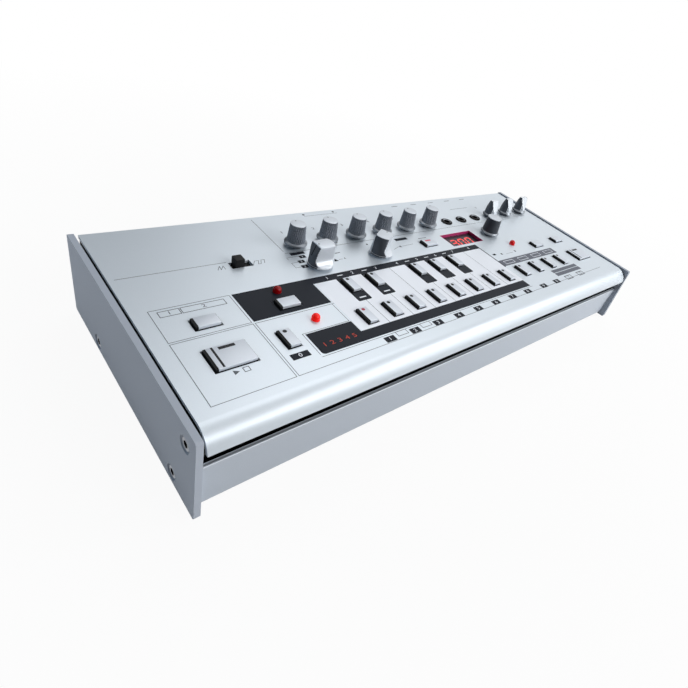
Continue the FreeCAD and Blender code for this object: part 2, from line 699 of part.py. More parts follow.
def make_plate_screws():
    """Countersunk socket screws. The front upper pair are the pivots of the module."""
    screws = []
    for side, sign in SIDES:
        inward = RIGHTWARD if side == "left" else LEFTWARD
        outer = "%s(dock_wide / 2 - sink_depth)" % sign
        for y, z in PLATE_SCREWS:
            head = doc.addObject("Part::Cone", "screw_head")
            tie(head, "Radius1", "sink_radius - sink_depth - sink_gap")
            tie(head, "Radius2", "screw_radius")
            tie(head, "Height", "sink_radius - sink_depth - sink_gap - screw_radius")
            place(head, outer, y, z, inward)
            shank = rod_at("screw_shank", outer, y, z, "screw_radius", "screw_long", inward)
            socket = hexagon_at("screw_socket", outer, y, z, "socket_radius", "socket_deep", inward)
            screws.append(less("plate_screw", joined("screw_body", [head, shank]), [socket]))
    group("plate_screws", screws)


def make_rubber_feet():
    feet = []
    for x in ("-foot_apart_x / 2", "foot_apart_x / 2"):
        for y in ("-foot_apart_y / 2", "foot_apart_y / 2"):
            feet.append(rod_at("foot", x, y, "0", "foot_radius", "tray_low"))
    group("rubber_feet", feet)


def make_prop_leg():
    """A plate with a knuckle on the hinge pin, drawn folded flat with its tip to the rear."""
    body = new_body("prop_leg")
    sketch = new_sketch(body, "YZ_Plane")
    outline(sketch, [
        ("0", "-leg_thick / 2"),
        ("leg_long - leg_thick / 2", "-leg_thick / 2", "leg_thick / sqrt(2)", "left"),
        ("leg_long - leg_thick / 2", "leg_thick / 2"),
        ("0", "leg_thick / 2"),
    ])
    pad(body, sketch, "leg_wide", sides="Symmetric")
    cut = new_sketch(body, "XY_Plane", "leg_thick")
    rectangle(cut, "0", "leg_long / 2", "leg_wide / 2", "leg_long / 3")
    pocket(body, cut)
    knuckle = new_sketch(body, "YZ_Plane")
    circle(knuckle, "0", "0", "leg_knuckle")
    pad(body, knuckle, "leg_wide", sides="Symmetric")
    pin = new_sketch(body, "YZ_Plane")
    circle(pin, "0", "0", "screw_radius")
    pad(body, pin, "leg_wide + 2 * (lug_gap + lug_thick + pin_past)", sides="Symmetric")
    place(body, "0", "leg_y", "leg_z")


# The carrier, the case and the panel of the module

def make_cradle():
    """A thin floor under the case, with a cheek at each end that turns on its pivot screw."""
    body = new_body("cradle")
    floor = new_sketch(body, "XY_Plane", "case_low - cradle_thick")
    floor_y = "(cradle_front + cradle_rear) / 2"
    full = "case_wide + 2 * (cheek_gap + cradle_thick)"
    rectangle(floor, "0", floor_y, full, "cradle_rear - cradle_front")
    pad(body, floor, "cradle_thick")
    for side, sign in SIDES:
        cheek = new_sketch(body, "YZ_Plane", "%s(case_wide / 2 + cheek_gap)" % sign)
        outline(cheek, [
            ("cradle_rear", "case_low - cradle_thick"),
            ("cradle_rear", "cheek_top - cheek_cut"),
            ("cradle_rear - cheek_cut", "cheek_top"),
            ("pivot_y", "cheek_top", "nose_radius", "left"),
            ("pivot_y - nose_radius", PIVOT_Z, "nose_radius", "left"),
            ("pivot_y", PIVOT_Z + " - nose_radius"),
            ("cradle_front", PIVOT_Z + " - nose_radius"),
            ("cradle_front", "case_low - cradle_thick"),
        ])
        pad(body, cheek, "cradle_thick", reverse=side == "left")
    bearing = new_sketch(body, "YZ_Plane", "-dock_wide / 2")
    circle(bearing, "pivot_y", PIVOT_Z, "screw_radius + run_gap")
    pocket(body, bearing, reverse=True)
    windows = new_sketch(body, "XY_Plane", "case_low")
    for side, sign in SIDES:
        rectangle(windows, "%swindow_x" % sign, "window_y", "window_wide", "window_deep")
    for x, y in CASE_SCREWS:
        circle(windows, x, y, "screw_hole")
    pocket(body, windows, "cradle_thick")


def make_lower_case():
    """A plastic tub with a rounded nose that fills the panel's rolled front."""
    body = new_body("lower_case")
    profile = new_sketch(body, "YZ_Plane")
    outline(profile, [
        ("case_rear", "case_low"),
        ("case_rear", PANEL_UNDER),
        ("pivot_y", PANEL_UNDER),
        ("pivot_y", PIVOT_Z + " + nose_radius", "nose_radius", "left"),
        ("pivot_y - nose_radius", PIVOT_Z, "nose_radius", "left"),
        ("pivot_y", PIVOT_Z + " - nose_radius"),
        ("case_front", PIVOT_Z + " - nose_radius"),
        ("case_front", "case_low"),
    ])
    pad(body, profile, "case_wide", sides="Symmetric")
    hollow = new_sketch(body, "XY_Plane", PANEL_UNDER)
    inner_y = "(case_front + case_rear) / 2"
    rectangle(hollow, "0", inner_y, "case_wide - 2 * case_wall", "case_rear - case_front - 2 * case_wall")
    pocket(body, hollow, PANEL_UNDER + " - case_low - case_wall")

    bosses = new_sketch(body, "XY_Plane", "case_low + case_wall")
    for x, y in CASE_SCREWS:
        circle(bosses, x, y, "boss_radius")
    pad(body, bosses, "board_top - board_thick - case_low - case_wall")
    posts = new_sketch(body, "XY_Plane", "case_low + case_wall")
    for x, y in POSTS:
        rectangle(posts, x, y, "2 * post_half", "2 * post_half")
    pad(body, posts, "main_board_low - case_low - case_wall")

    screw_holes = new_sketch(body, "XY_Plane", "case_low")
    for x, y in CASE_SCREWS:
        circle(screw_holes, x, y, "screw_hole")
    pocket(body, screw_holes, "case_screw_long + screw_past", reverse=True)
    bearings = new_sketch(body, "YZ_Plane", "-case_wide / 2")
    circle(bearings, "pivot_y", PIVOT_Z, "screw_radius + run_gap")
    pocket(body, bearings, reverse=True)
    well = new_sketch(body, "XY_Plane", "case_low")
    rectangle(well, "window_x", "window_y", "well_wide", "well_deep")
    pocket(body, well, "cover_thick", reverse=True)
    opening = new_sketch(body, "XY_Plane", "case_low")
    rectangle(opening, "window_x", "window_y", "well_wide - 2 * well_step", "well_deep - 2 * well_step")
    pocket(body, opening, "case_wall", reverse=True)

    rear = new_sketch(body, "XZ_Plane", "-case_rear")
    for x in ROUND_SOCKETS:
        circle(rear, x, MAIN_TOP + " + round_socket_radius", "round_socket_radius + opening_gap")
    for x in REAR_JACKS:
        circle(rear, x, MAIN_TOP + " + jack_body_wide / 2", "jack_barrel + opening_gap")
    circle(rear, "volume_x", "volume_z", "volume_radius + power_gap")
    rectangle(rear, "power_x + power_travel / 2", "power_z", "power_wide + power_travel + 2 * power_gap",
              "power_high + 2 * power_gap")
    rectangle(rear, "data_x", MAIN_TOP + " + data_high / 2", "data_wide + 2 * opening_gap",
              "data_high + 2 * opening_gap")
    pocket(body, rear, "case_wall", reverse=True)


def make_battery_cover():
    """A plate in the well's step, with a finger notch by its latch."""
    body = new_body("battery_cover")
    sketch = new_sketch(body, "XY_Plane", "case_low")
    rectangle(sketch, "window_x", "window_y", "well_wide - 2 * cover_gap", "well_deep - 2 * cover_gap")
    pad(body, sketch, "cover_thick")
    notch = new_sketch(body, "XY_Plane", "case_low")
    rectangle(notch, "window_x", "window_y + well_deep / 2 - 1.5 * notch_deep", "notch_wide", "notch_deep")
    pocket(body, notch, "cover_thick / 2", reverse=True)


def make_case_screws():
    """Pan head screws, up through the cradle and the case into the bosses."""
    screws = []
    for x, y in CASE_SCREWS:
        low = "case_low - cradle_thick - head_high"
        head = rod_at("pan_head", x, y, low, "head_radius", "head_high")
        shank = rod_at("pan_shank", x, y, low, "screw_radius", "head_high + case_screw_long")
        socket = hexagon_at("pan_socket", x, y, low, "case_socket", "case_socket_deep")
        screws.append(less("case_screw", joined("pan_body", [head, shank]), [socket]))
    group("case_screws", screws)


def make_top_panel():
    """A sheet panel whose front edge rolls over the pivot line, with an aperture per control."""
    body = new_body("top_panel")
    profile = new_sketch(body, "YZ_Plane")
    outline(profile, [
        ("panel_rear", PANEL_UNDER),
        ("panel_rear", "panel_top"),
        ("pivot_y", "panel_top", "roll_outer", "left"),
        ("pivot_y - roll_outer", PIVOT_Z),
        ("pivot_y - roll_outer + panel_thick", PIVOT_Z, "roll_outer - panel_thick", "right"),
        ("pivot_y", PANEL_UNDER),
    ])
    pad(body, profile, "panel_wide", sides="Symmetric")
    key_holes = (("key_x", "key_pitch", 8), ("side_x", "side_pitch", 4))
    for first, spacing, count in key_holes:
        sketch = new_sketch(body, "XY_Plane", "panel_top")
        rectangle(sketch, first, "key_y", "key_hole_wide", "key_hole_deep")
        row_of(body, pocket(body, sketch, "panel_thick"), sketch, spacing, count)
    dial_hole = new_sketch(body, "XY_Plane", "panel_top")
    circle(dial_hole, "dial_x", "knob_y", "bushing_hole")
    row_of(body, pocket(body, dial_hole, "panel_thick"), dial_hole, "dial_pitch", 6)
    effect_hole = new_sketch(body, "XY_Plane", "panel_top")
    circle(effect_hole, "effect_x", "knob_y", "bushing_hole")
    row_of(body, pocket(body, effect_hole, "panel_thick"), effect_hole, "effect_pitch", 3)
    jack_hole = new_sketch(body, "XY_Plane", "panel_top")
    circle(jack_hole, "jack_x", "jack_y", "jack_barrel + opening_gap")
    row_of(body, pocket(body, jack_hole, "panel_thick"), jack_hole, "jack_pitch", 3)

    rest = new_sketch(body, "XY_Plane", "panel_top")
    for name, x, y, wide, deep in BUTTONS:
        if not name.startswith(("white", "side")):
            rectangle(rest, x, y, wide, deep)
    for name, x, y, kind in KNOBS:
        if kind in ("selector", "value"):
            circle(rest, x, y, "bushing_hole")
    for x, y in LAMPS:
        circle(rest, x, y, "lamp_hole")
    rectangle(rest, "display_x", "display_y", "display_wide", "display_deep")
    rectangle(rest, "slide_x", "slide_y", "slot_wide", "slot_deep")
    pocket(body, rest, "panel_thick")


# Inside the module

def make_boards():
    panel_y = "(board_front + board_rear) / 2"
    board_low = "board_top - board_thick"
    board = box_at("panel_board_blank", "0", panel_y, board_low, "board_wide",
                   "board_rear - board_front", "board_thick")
    cut_out = box_at("jack_cut_out", JACKS[1], "jack_y", board_low, "2 * jack_pitch + jack_body_wide + 1",
                     "jack_body_deep + 1", "board_thick")
    keep(less("panel_board", board, [cut_out]), "panel_board")
    main_y = "(main_board_front + main_board_rear) / 2"
    main = box_at("main_board", "0", main_y, "main_board_low", "main_board_wide",
                  "main_board_rear - main_board_front", "board_thick")
    keep(main, "main_board")


def make_switch_bodies():
    """A contact switch under each button, and the bodies of the two slide switches."""
    bodies = []
    for name, x, y, wide, deep in BUTTONS:
        body = box_at("switch_case", x, y, "board_top", "switch_wide", "switch_wide", "switch_high")
        stem = box_at("switch_stem", x, y, "board_top + switch_high", "switch_stem_wide", "switch_stem_wide",
                      "switch_stem")
        bodies.append(joined("switch_body", [body, stem]))
    slide = box_at("slide_body", "slide_x", "slide_y", "board_top", "slot_wide + 2 * slide_body_out",
                   "slot_deep + slide_body_out", "slide_body_high")
    power = box_at("power_body", "power_x + power_travel / 2", "power_body_y", MAIN_TOP, "power_body_wide",
                   "power_body_deep", "power_body_deep")
    group("switch_bodies", bodies + [slide, power])


def make_pot_bodies():
    """Pots: a body on the board and a bushing that reaches the panel's face, with a bore."""
    pots = []
    for name, x, y, kind in KNOBS:
        body = box_at("pot_case", x, y, "board_top", "pot_wide", "pot_wide", "pot_high")
        bushing = rod_at("pot_bushing", x, y, "board_top", "bushing_radius", "panel_top - board_top")
        bore = rod_at("pot_bore", x, y, "stem_low - bore_past", "stem_radius + run_gap",
                      "panel_top - board_top")
        pots.append(less("pot", joined("pot_body", [body, bushing]), [bore]))
    body = box_at("volume_case", "volume_x", "volume_pot_y", MAIN_TOP, "pot_wide", "volume_pot_deep",
                  "pot_wide")
    bore = rod_at("volume_bore", "volume_x", "volume_pot_y - volume_pot_deep / 4", "volume_z",
                  "volume_stem + run_gap", "volume_pot_deep", REARWARD)
    pots.append(less("volume_pot", body, [bore]))
    group("pot_bodies", pots)


def make_display():
    """A window in a rim that touches the panel from below, and the digit module under it."""
    body = new_body("display_window")
    rim = new_sketch(body, "XY_Plane", "panel_top - window_sunk - window_thick")
    rectangle(rim, "display_x", "display_y", "display_wide + 2 * window_out", "display_deep + 2 * window_out")
    pad(body, rim, "window_sunk - panel_thick + window_thick")
    recess = new_sketch(body, "XY_Plane", PANEL_UNDER)
    rectangle(recess, "display_x", "display_y", "display_wide", "display_deep")
    pocket(body, recess, "window_sunk - panel_thick")
    digits = box_at("display_module", "display_x", "display_y", "board_top", "digits_wide", "digits_deep",
                    "digits_high")
    keep(digits, "display_module")


def make_indicator_lights():
    """Domed lamps that stand on the board and look out of the panel."""
    lamps = []
    for x, y in LAMPS:
        stem = rod_at("lamp_stem", x, y, "board_top", "lamp_radius", "panel_top - board_top + lamp_base")
        dome = doc.addObject("Part::Sphere", "lamp_dome")
        tie(dome, "Radius", "lamp_radius")
        place(dome, x, y, "panel_top + lamp_base")
        lamps.append(joined("lamp", [stem, dome]))
    group("indicator_lights", lamps)


def make_top_jacks():
    """Small jack sockets: body under the panel, barrel through it and a ring on top."""
    jacks = []
    for x in JACKS:
        under = "%s - jack_gap - jack_body_high" % PANEL_UNDER
        body = box_at("jack_case", x, "jack_y", under, "jack_body_wide", "jack_body_deep", "jack_body_high")
        barrel = rod_at("jack_barrel", x, "jack_y", under, "jack_barrel", "panel_top - (%s)" % under)
        ring = rod_at("jack_ring", x, "jack_y", "panel_top", "jack_ring", "jack_ring_high")
        mouth = "panel_top + jack_ring_high - jack_bore_deep"
        bore = rod_at("jack_bore", x, "jack_y", mouth, "jack_bore", "jack_bore_deep + 1")
        jacks.append(less("top_jack", joined("jack_body", [body, barrel, ring]), [bore]))
    group("top_jacks", jacks)


def make_round_socket(x):
    """A shell round a core that has five pole holes in a half circle."""
    centre = MAIN_TOP + " + round_socket_radius"
    core_y = "case_rear - round_ring_deep"
    shell = rod_at("round_shell", x, "case_rear - round_socket_deep", centre, "round_socket_radius",
                   "round_socket_deep", REARWARD)
    inside = rod_at("round_inside", x, core_y, centre, "round_ring", "2 * round_ring_deep", REARWARD)
    core_long = "round_ring_deep + 1 - round_core_sunk"
    core = rod_at("round_core", x, core_y + " - 1", centre, "round_core", core_long, REARWARD)
    socket = joined("round_socket", [less("round_ring", shell, [inside]), core])
    poles = []
    for angle in (0, 45, 90, 135, 180):
        pole_x = "%s + pole_circle * %.4f" % (x, math.cos(math.radians(angle)))
        pole_z = "%s + pole_circle * %.4f" % (centre, math.sin(math.radians(angle)))
        poles.append(hexagon_at("pole", pole_x, "case_rear - pole_deep", pole_z, "pole_radius", "pole_deep",
                                REARWARD))
    return less("round_socket_holes", socket, poles)


def make_rear_jack(x):
    centre = MAIN_TOP + " + jack_body_wide / 2"
    body = box_at("rear_case", x, "case_rear - case_wall - rear_jack_deep / 2", MAIN_TOP, "jack_body_wide",
                  "rear_jack_deep", "jack_body_wide")
    barrel = rod_at("rear_barrel", x, "case_rear - rear_barrel", centre, "jack_barrel",
                    "rear_barrel + rear_barrel_past", REARWARD)
    bore = rod_at("rear_bore", x, "case_rear - rear_jack_deep", centre, "jack_bore", "rear_jack_deep + 1",
                  REARWARD)
    return less("rear_jack", joined("rear_body", [body, barrel]), [bore])


def make_data_socket():
    shell = box_at("data_shell", "data_x", "case_rear - data_deep / 2", MAIN_TOP, "data_wide", "data_deep",
                   "data_high")
    mouth = box_at("data_mouth", "data_x", "case_rear - data_mouth / 2", MAIN_TOP + " + data_wall",
                   "data_wide - 2 * data_wall", "data_mouth", "data_high - 2 * data_wall")
    tongue_low = MAIN_TOP + " + (data_high - data_tongue) / 2"
    tongue = box_at("data_tongue", "data_x", "case_rear - 1 - data_mouth / 2", tongue_low,
                    "data_wide - 2 * data_tongue", "data_mouth", "data_tongue")
    return joined("data_socket", [less("data_case", shell, [mouth]), tongue])


def make_rear_sockets():
    """Sockets that stand on the main board and look out of the rear wall."""
    sockets = [make_round_socket(x) for x in ROUND_SOCKETS]
    sockets += [make_rear_jack(x) for x in REAR_JACKS]
    sockets.append(make_data_socket())
    group("rear_sockets", sockets)


# The controls

def make_button(name, x, y, wide, deep):
    """A cap with a bevelled top, a rim that the panel holds and a stem over its switch."""
    body = new_body(name)
    cap = new_sketch(body, "XY_Plane", "-panel_thick - rim_gap")
    rectangle(cap, "0", "0", wide + " - 2 * gap_round_cap", deep + " - 2 * gap_round_cap")
    proud = "large_proud" if wide == "large_hole_wide" else "cap_proud"
    block = pad(body, cap, "panel_thick + rim_gap + " + proud)
    soften(body, "Chamfer", block, [top_face(block.Shape)], "cap_edge")
    rim = new_sketch(body, "XY_Plane", "-panel_thick - rim_gap")
    rectangle(rim, "0", "0", wide + " + 2 * rim_out", deep + " + 2 * rim_out")
    pad(body, rim, "rim_thick", reverse=True)
    plunger = new_sketch(body, "XY_Plane", "-panel_thick - rim_gap - rim_thick")
    rectangle(plunger, "0", "0", "plunger_wide", "plunger_wide")
    pad(body, plunger, "plunger_long", reverse=True)
    if wide == "large_hole_wide":
        marks = new_sketch(body, "XY_Plane", proud)
        groove_deep = deep + " - 2 * gap_round_cap - 4 * cap_edge"
        rectangle(marks, "groove_x", "0", "groove_wide", groove_deep)
        rectangle(marks, "bar_x", "bar_y", "bar_wide", "bar_deep")
        pocket(body, marks, "groove_sunk")
    place(body, x, y, "panel_top")


# Every knob starts as a half profile whose first corners are its stem, in its pot.
STEM = [
    ("0", "stem_low - panel_top - knob_lift"),
    ("stem_radius", "stem_low - panel_top - knob_lift"),
    ("stem_radius", "0"),
]


def make_dial(body):
    """A plain collar under a tapered body with a bevelled top."""
    turned(body, STEM + [
        ("dial_skirt", "0"),
        ("dial_skirt", "dial_collar"),
        ("dial_foot", "dial_collar + knob_edge"),
        ("dial_head", "knob_high - knob_edge"),
        ("dial_head - knob_edge", "knob_high"),
        ("0", "knob_high"),
    ])


def make_selector(body):
    """A round body on a flange, scooped on both flanks to a bar, with a slanted, grooved nose."""
    turned(body, STEM + [
        ("selector_skirt", "0"),
        ("selector_skirt", "selector_flange"),
        ("selector_foot", "selector_flange + 2 * knob_edge"),
        ("selector_head", "knob_high - knob_edge"),
        ("selector_head - knob_edge", "knob_high"),
        ("0", "knob_high"),
    ])
    scoops = new_sketch(body, "YZ_Plane", "-selector_skirt")
    reach = "selector_waist + selector_scoop"
    for sign, turn in (("-", "left"), ("", "right")):
        outline(scoops, [
            ("%s(%s)" % (sign, reach), "selector_flange", "selector_scoop", turn),
            ("%sselector_waist" % sign, "selector_flange + selector_scoop"),
            ("%sselector_top" % sign, "knob_high"),
            ("%s(%s)" % (sign, reach), "knob_high"),
        ])
    pocket(body, scoops, reverse=True)
    nose = new_sketch(body, "XZ_Plane", "-selector_skirt")
    outline(nose, nose_corners("0"))
    pocket(body, nose, reverse=True)
    groove = new_sketch(body, "XZ_Plane", "-nose_groove")
    outline(groove, nose_corners("nose_groove"))
    pocket(body, groove, "2 * nose_groove", reverse=True)


def nose_corners(sunk):
    """Outline of what is cut off at a selector's nose, seen from the side."""
    top = "-nose_top + %s" % sunk
    low = top + " - nose_slant * (knob_high - nose_low)"
    return [
        (top, "knob_high"),
        (low, "nose_low"),
        ("-selector_skirt - 1", "nose_low"),
        ("-selector_skirt - 1", "knob_high"),
    ]


def make_effect_knob(body):
    """A tapered body whose top two slanted flats leave as a narrow ridge."""
    turned(body, STEM + [
        ("effect_skirt", "0"),
        ("effect_skirt", "collar_high"),
        ("effect_foot", "collar_high + collar_slope"),
        ("effect_head", "knob_high - knob_edge"),
        ("effect_head - knob_edge", "knob_high"),
        ("0", "knob_high"),
    ])
    flats = new_sketch(body, "YZ_Plane", "-effect_skirt")
    for sign in ("-", ""):
        outline(flats, [
            ("%s(effect_ridge / 2)" % sign, "knob_high"),
            ("%seffect_skirt" % sign, "knob_high"),
            ("%seffect_foot" % sign, "flat_low"),
        ])
    pocket(body, flats, reverse=True)


def make_value_knob(body):
    """A smooth taper from a wide collar."""
    turned(body, STEM + [
        ("value_skirt", "0"),
        ("value_skirt", "collar_high"),
        ("value_foot", "collar_high + collar_slope"),
        ("value_head", "knob_high - knob_edge"),
        ("value_head - knob_edge", "knob_high"),
        ("0", "knob_high"),
    ])


KNOB_MAKERS = {
    "dial": make_dial,
    "selector": make_selector,
    "effect": make_effect_knob,
    "value": make_value_knob,
}


def make_knob(name, x, y, kind):
    body = new_body(name)
    KNOB_MAKERS[kind](body)
    turn = Rotation(Vector(0, 0, 1), SELECTOR_TURN) if name == "right_selector" else Rotation()
    place(body, x, y, "panel_top + knob_lift", turn)


def make_mode_slider():
    """The cap of the slide switch, on a plate that runs under the panel."""
    body = new_body("mode_slider")
    cap = new_sketch(body, "XY_Plane", "-panel_thick - rim_gap")
    rectangle(cap, "0", "0", "slider_wide", "slider_deep")
    block = pad(body, cap, "panel_thick + rim_gap + slider_proud")
    soften(body, "Chamfer", block, [top_face(block.Shape)], "cap_edge")
    plate = new_sketch(body, "XY_Plane", "-panel_thick - rim_gap")
    rectangle(plate, "0", "0", "slider_wide + 2 * slider_plate", "slider_deep + 2 * slider_plate")
    pad(body, plate, "rim_thick", reverse=True)
    place(body, "slide_x - slider_travel / 2", "slide_y", "panel_top")


def make_volume_knob():
    """A low knob in the rear wall, on a stem in its pot."""
    body = new_body("volume_knob")
    turned(body, [
        ("0", "-volume_reach"),
        ("volume_stem", "-volume_reach"),
        ("volume_stem", "-volume_in"),
        ("volume_radius", "-volume_in"),
        ("volume_radius", "rear_reach - knob_edge"),
        ("volume_radius - knob_edge", "rear_reach"),
        ("0", "rear_reach"),
    ])
    place(body, "volume_x", "case_rear", "volume_z", REARWARD)


def make_power_switch():
    """A small sliding cap in the rear wall."""
    body = new_body("power_switch")
    cap = new_sketch(body, "XY_Plane", "-power_in")
    rectangle(cap, "0", "0", "power_wide", "power_high")
    pad(body, cap, "power_in + rear_reach")
    plate = new_sketch(body, "XY_Plane", "-case_wall - power_gap")
    rectangle(plate, "0", "0", "power_wide + 2 * power_plate_out", "power_high + 2 * power_plate_out")
    pad(body, plate, "power_plate", reverse=True)
    place(body, "power_x", "case_rear", "power_z", REARWARD)


make_dock_tray()
for side, sign in SIDES:
    make_end_plate(side, sign)
make_plate_screws()
make_rubber_feet()
make_prop_leg()
make_cradle()
make_lower_case()
make_battery_cover()
make_case_screws()
make_top_panel()
make_boards()
make_switch_bodies()
make_pot_bodies()
make_display()
make_indicator_lights()
make_top_jacks()
make_rear_sockets()
for button in BUTTONS:
    make_button(*button)
for knob in KNOBS:
    make_knob(*knob)
make_mode_slider()
make_volume_knob()
make_power_switch()
doc.recompute()

for thing in doc.Objects:
    if "Invalid" in thing.State or "Error" in thing.State:
        raise RuntimeError("%s did not build: %s" % (thing.Label, thing.State))
for piece in PIECES:
    if piece.Shape.isNull() or not piece.Shape.isValid():
        raise RuntimeError("%s has no valid shape" % piece.Label)

os.makedirs("parts", exist_ok=True)
for piece in PIECES:
    piece.Shape.exportStep("parts/%s.step" % piece.Label)
print("%d pieces" % len(PIECES))
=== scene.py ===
import math
from collections import defaultdict

import bmesh
import bpy
from mathutils import Matrix, Vector


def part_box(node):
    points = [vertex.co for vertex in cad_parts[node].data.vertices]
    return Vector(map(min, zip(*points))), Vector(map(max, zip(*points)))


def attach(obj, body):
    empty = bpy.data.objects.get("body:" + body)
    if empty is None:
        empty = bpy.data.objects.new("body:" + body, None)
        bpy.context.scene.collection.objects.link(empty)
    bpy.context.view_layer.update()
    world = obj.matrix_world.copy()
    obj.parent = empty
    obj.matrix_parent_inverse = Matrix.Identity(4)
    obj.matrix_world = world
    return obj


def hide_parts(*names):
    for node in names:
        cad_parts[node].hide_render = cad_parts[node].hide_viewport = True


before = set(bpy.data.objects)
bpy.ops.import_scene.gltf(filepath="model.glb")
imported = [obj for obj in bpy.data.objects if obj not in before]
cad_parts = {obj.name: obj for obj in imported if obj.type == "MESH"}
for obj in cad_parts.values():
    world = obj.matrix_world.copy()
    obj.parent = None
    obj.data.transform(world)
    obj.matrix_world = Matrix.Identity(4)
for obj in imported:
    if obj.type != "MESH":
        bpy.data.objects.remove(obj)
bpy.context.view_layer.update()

# The dressed model: a bass synthesizer module in its tilting dock.
# Lengths are in millimetres and are turned into metres where a mesh is made.

MM = 0.001


def box_mm(node):
    """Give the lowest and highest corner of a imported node, in millimetres."""
    low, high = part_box(node)
    return Vector(low) / MM, Vector(high) / MM


MODULE = "module"
DOCK = "dock"

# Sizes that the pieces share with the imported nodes.
PANEL_TOP = box_mm("top_panel")[1].z
PANEL_THICK = 1.5
RIM_OUT = 0.7      # a button's hidden rim, past its aperture
CAP_GAP = 0.6      # between a cap and its aperture
PAINTED_SHADE_SIDE = 0.75  # the black strip along a cap's left side, painted shade
KNOB_LIFT = 1.1    # from the panel to the underside of a knob
TOP_GAP = 0.03     # from a knob's top to the top of its packed box
SHAFT_RADIUS = 3.0
ROUND_STEPS = 72   # straight edges in the plain rings of a knob

WHITE_KEYS = ["white_key_%d" % n for n in range(1, 9)]
SHARP_KEYS = ["sharp_key_%d" % n for n in range(1, 6)]
SIDE_KEYS = ["side_key_%d" % n for n in range(1, 5)]
KEYS = WHITE_KEYS + SHARP_KEYS + SIDE_KEYS + ["left_small_key"]
SMALL_BUTTONS = ["left_upper_button", "left_inner_button", "centre_button",
                 "right_upper_button_1", "right_upper_button_2"]
LARGE_BUTTONS = ["left_large_button", "right_large_button"]
DIALS = ["dial_%d" % n for n in range(1, 7)]
EFFECT_KNOBS = ["effect_knob_%d" % n for n in range(1, 4)]


# Colours and materials

def linear(red, green, blue):
    """Turn a colour of 0 to 255 a channel into the linear values that shaders take."""
    parts = [channel / 255 for channel in (red, green, blue)]
    channels = [part / 12.92 if part <= 0.04045 else ((part + 0.055) / 1.055) ** 2.4
                for part in parts]
    return (*channels, 1.0)


def shaded(name, colour, metallic=0.0, roughness=0.5, coat=0.0, specular=0.5):
    """Make a material with one Principled shader and return it with its node tree and shader."""
    material = bpy.data.materials.new(name)
    material.use_nodes = True
    tree = material.node_tree
    shader = tree.nodes["Principled BSDF"]
    shader.inputs["Base Color"].default_value = colour
    shader.inputs["Metallic"].default_value = metallic
    shader.inputs["Roughness"].default_value = roughness
    shader.inputs["Specular IOR Level"].default_value = specular
    shader.inputs["Coat Weight"].default_value = coat
    shader.inputs["Coat Roughness"].default_value = 0.2
    return material, tree, shader


def map_range(tree, value, low, high, to_low, to_high):
    """Carry a value from one range to another and give the result's socket."""
    node = tree.nodes.new("ShaderNodeMapRange")
    node.inputs["From Min"].default_value = low
    node.inputs["From Max"].default_value = high
    node.inputs["To Min"].default_value = to_low
    node.inputs["To Max"].default_value = to_high
    tree.links.new(value, node.inputs["Value"])
    return node.outputs["Result"]


def add_grain(tree, shader, colour, size, spread, rough, rough_spread, height):
    """Vary colour, roughness and height by a fine grain. size is the grain in millimetres."""
    link = tree.links.new
    place = tree.nodes.new("ShaderNodeTexCoord")
    noise = tree.nodes.new("ShaderNodeTexNoise")
    noise.inputs["Scale"].default_value = 1 / (size * MM)
    noise.inputs["Detail"].default_value = 3
    link(place.outputs["Object"], noise.inputs["Vector"])
    grain = noise.outputs["Fac"]
    tint = tree.nodes.new("ShaderNodeVectorMath")
    tint.operation = "SCALE"
    tint.inputs[0].default_value = colour[:3]
    level = map_range(tree, grain, 0.3, 0.7, 1 - spread, 1 + spread)
    link(level, tint.inputs["Scale"])
    link(tint.outputs["Vector"], shader.inputs["Base Color"])
    dull = map_range(tree, grain, 0.0, 1.0, rough - rough_spread, rough + rough_spread)
    link(dull, shader.inputs["Roughness"])
    bump = tree.nodes.new("ShaderNodeBump")
    bump.inputs["Strength"].default_value = 0.5
    bump.inputs["Distance"].default_value = height * MM
    link(grain, bump.inputs["Height"])
    link(bump.outputs["Normal"], shader.inputs["Normal"])


def grained(name, colour, metallic, roughness, size=0.3, spread=0.02, height=0.004, coat=0.0,
            specular=0.5):
    """Make a finish with a fine grain. colour is given as 0 to 255 a channel."""
    colour = linear(*colour)
    material, tree, shader = shaded(name, colour, metallic, roughness, coat, specular)
    add_grain(tree, shader, colour, size, spread, roughness, 0.04, height)
    return material


def lit(name, colour, strength):
    """Make a coloured plastic that also glows. colour is given as 0 to 255 a channel."""
    colour = linear(*colour)
    roughness = 0.15
    material, tree, shader = shaded(name, colour, roughness=roughness, specular=0.25)
    add_grain(tree, shader, colour, 0.8, 0.05, roughness, 0.03, 0.002)
    shader.inputs["Emission Color"].default_value = colour
    shader.inputs["Emission Strength"].default_value = strength
    return material


SILVER = grained("silver_paint", (215, 224, 232), 0.25, 0.4, size=0.25)
DOCK_SILVER = grained("dock_paint", (198, 206, 216), 0.0, 0.45, size=0.25, spread=0.03,
                      specular=0.1)
# The end plates are a touch darker than the tray, and the right one darker still, as painted shade.
PLATE_SILVER = grained("plate_paint", (192, 200, 212), 0.0, 0.45, size=0.25, spread=0.03,
                       specular=0.1)
PLATE_PAINTED_SHADE = grained("plate_painted_shade", (164, 172, 184), 0.0, 0.45, size=0.25, spread=0.03,
                     specular=0.05)
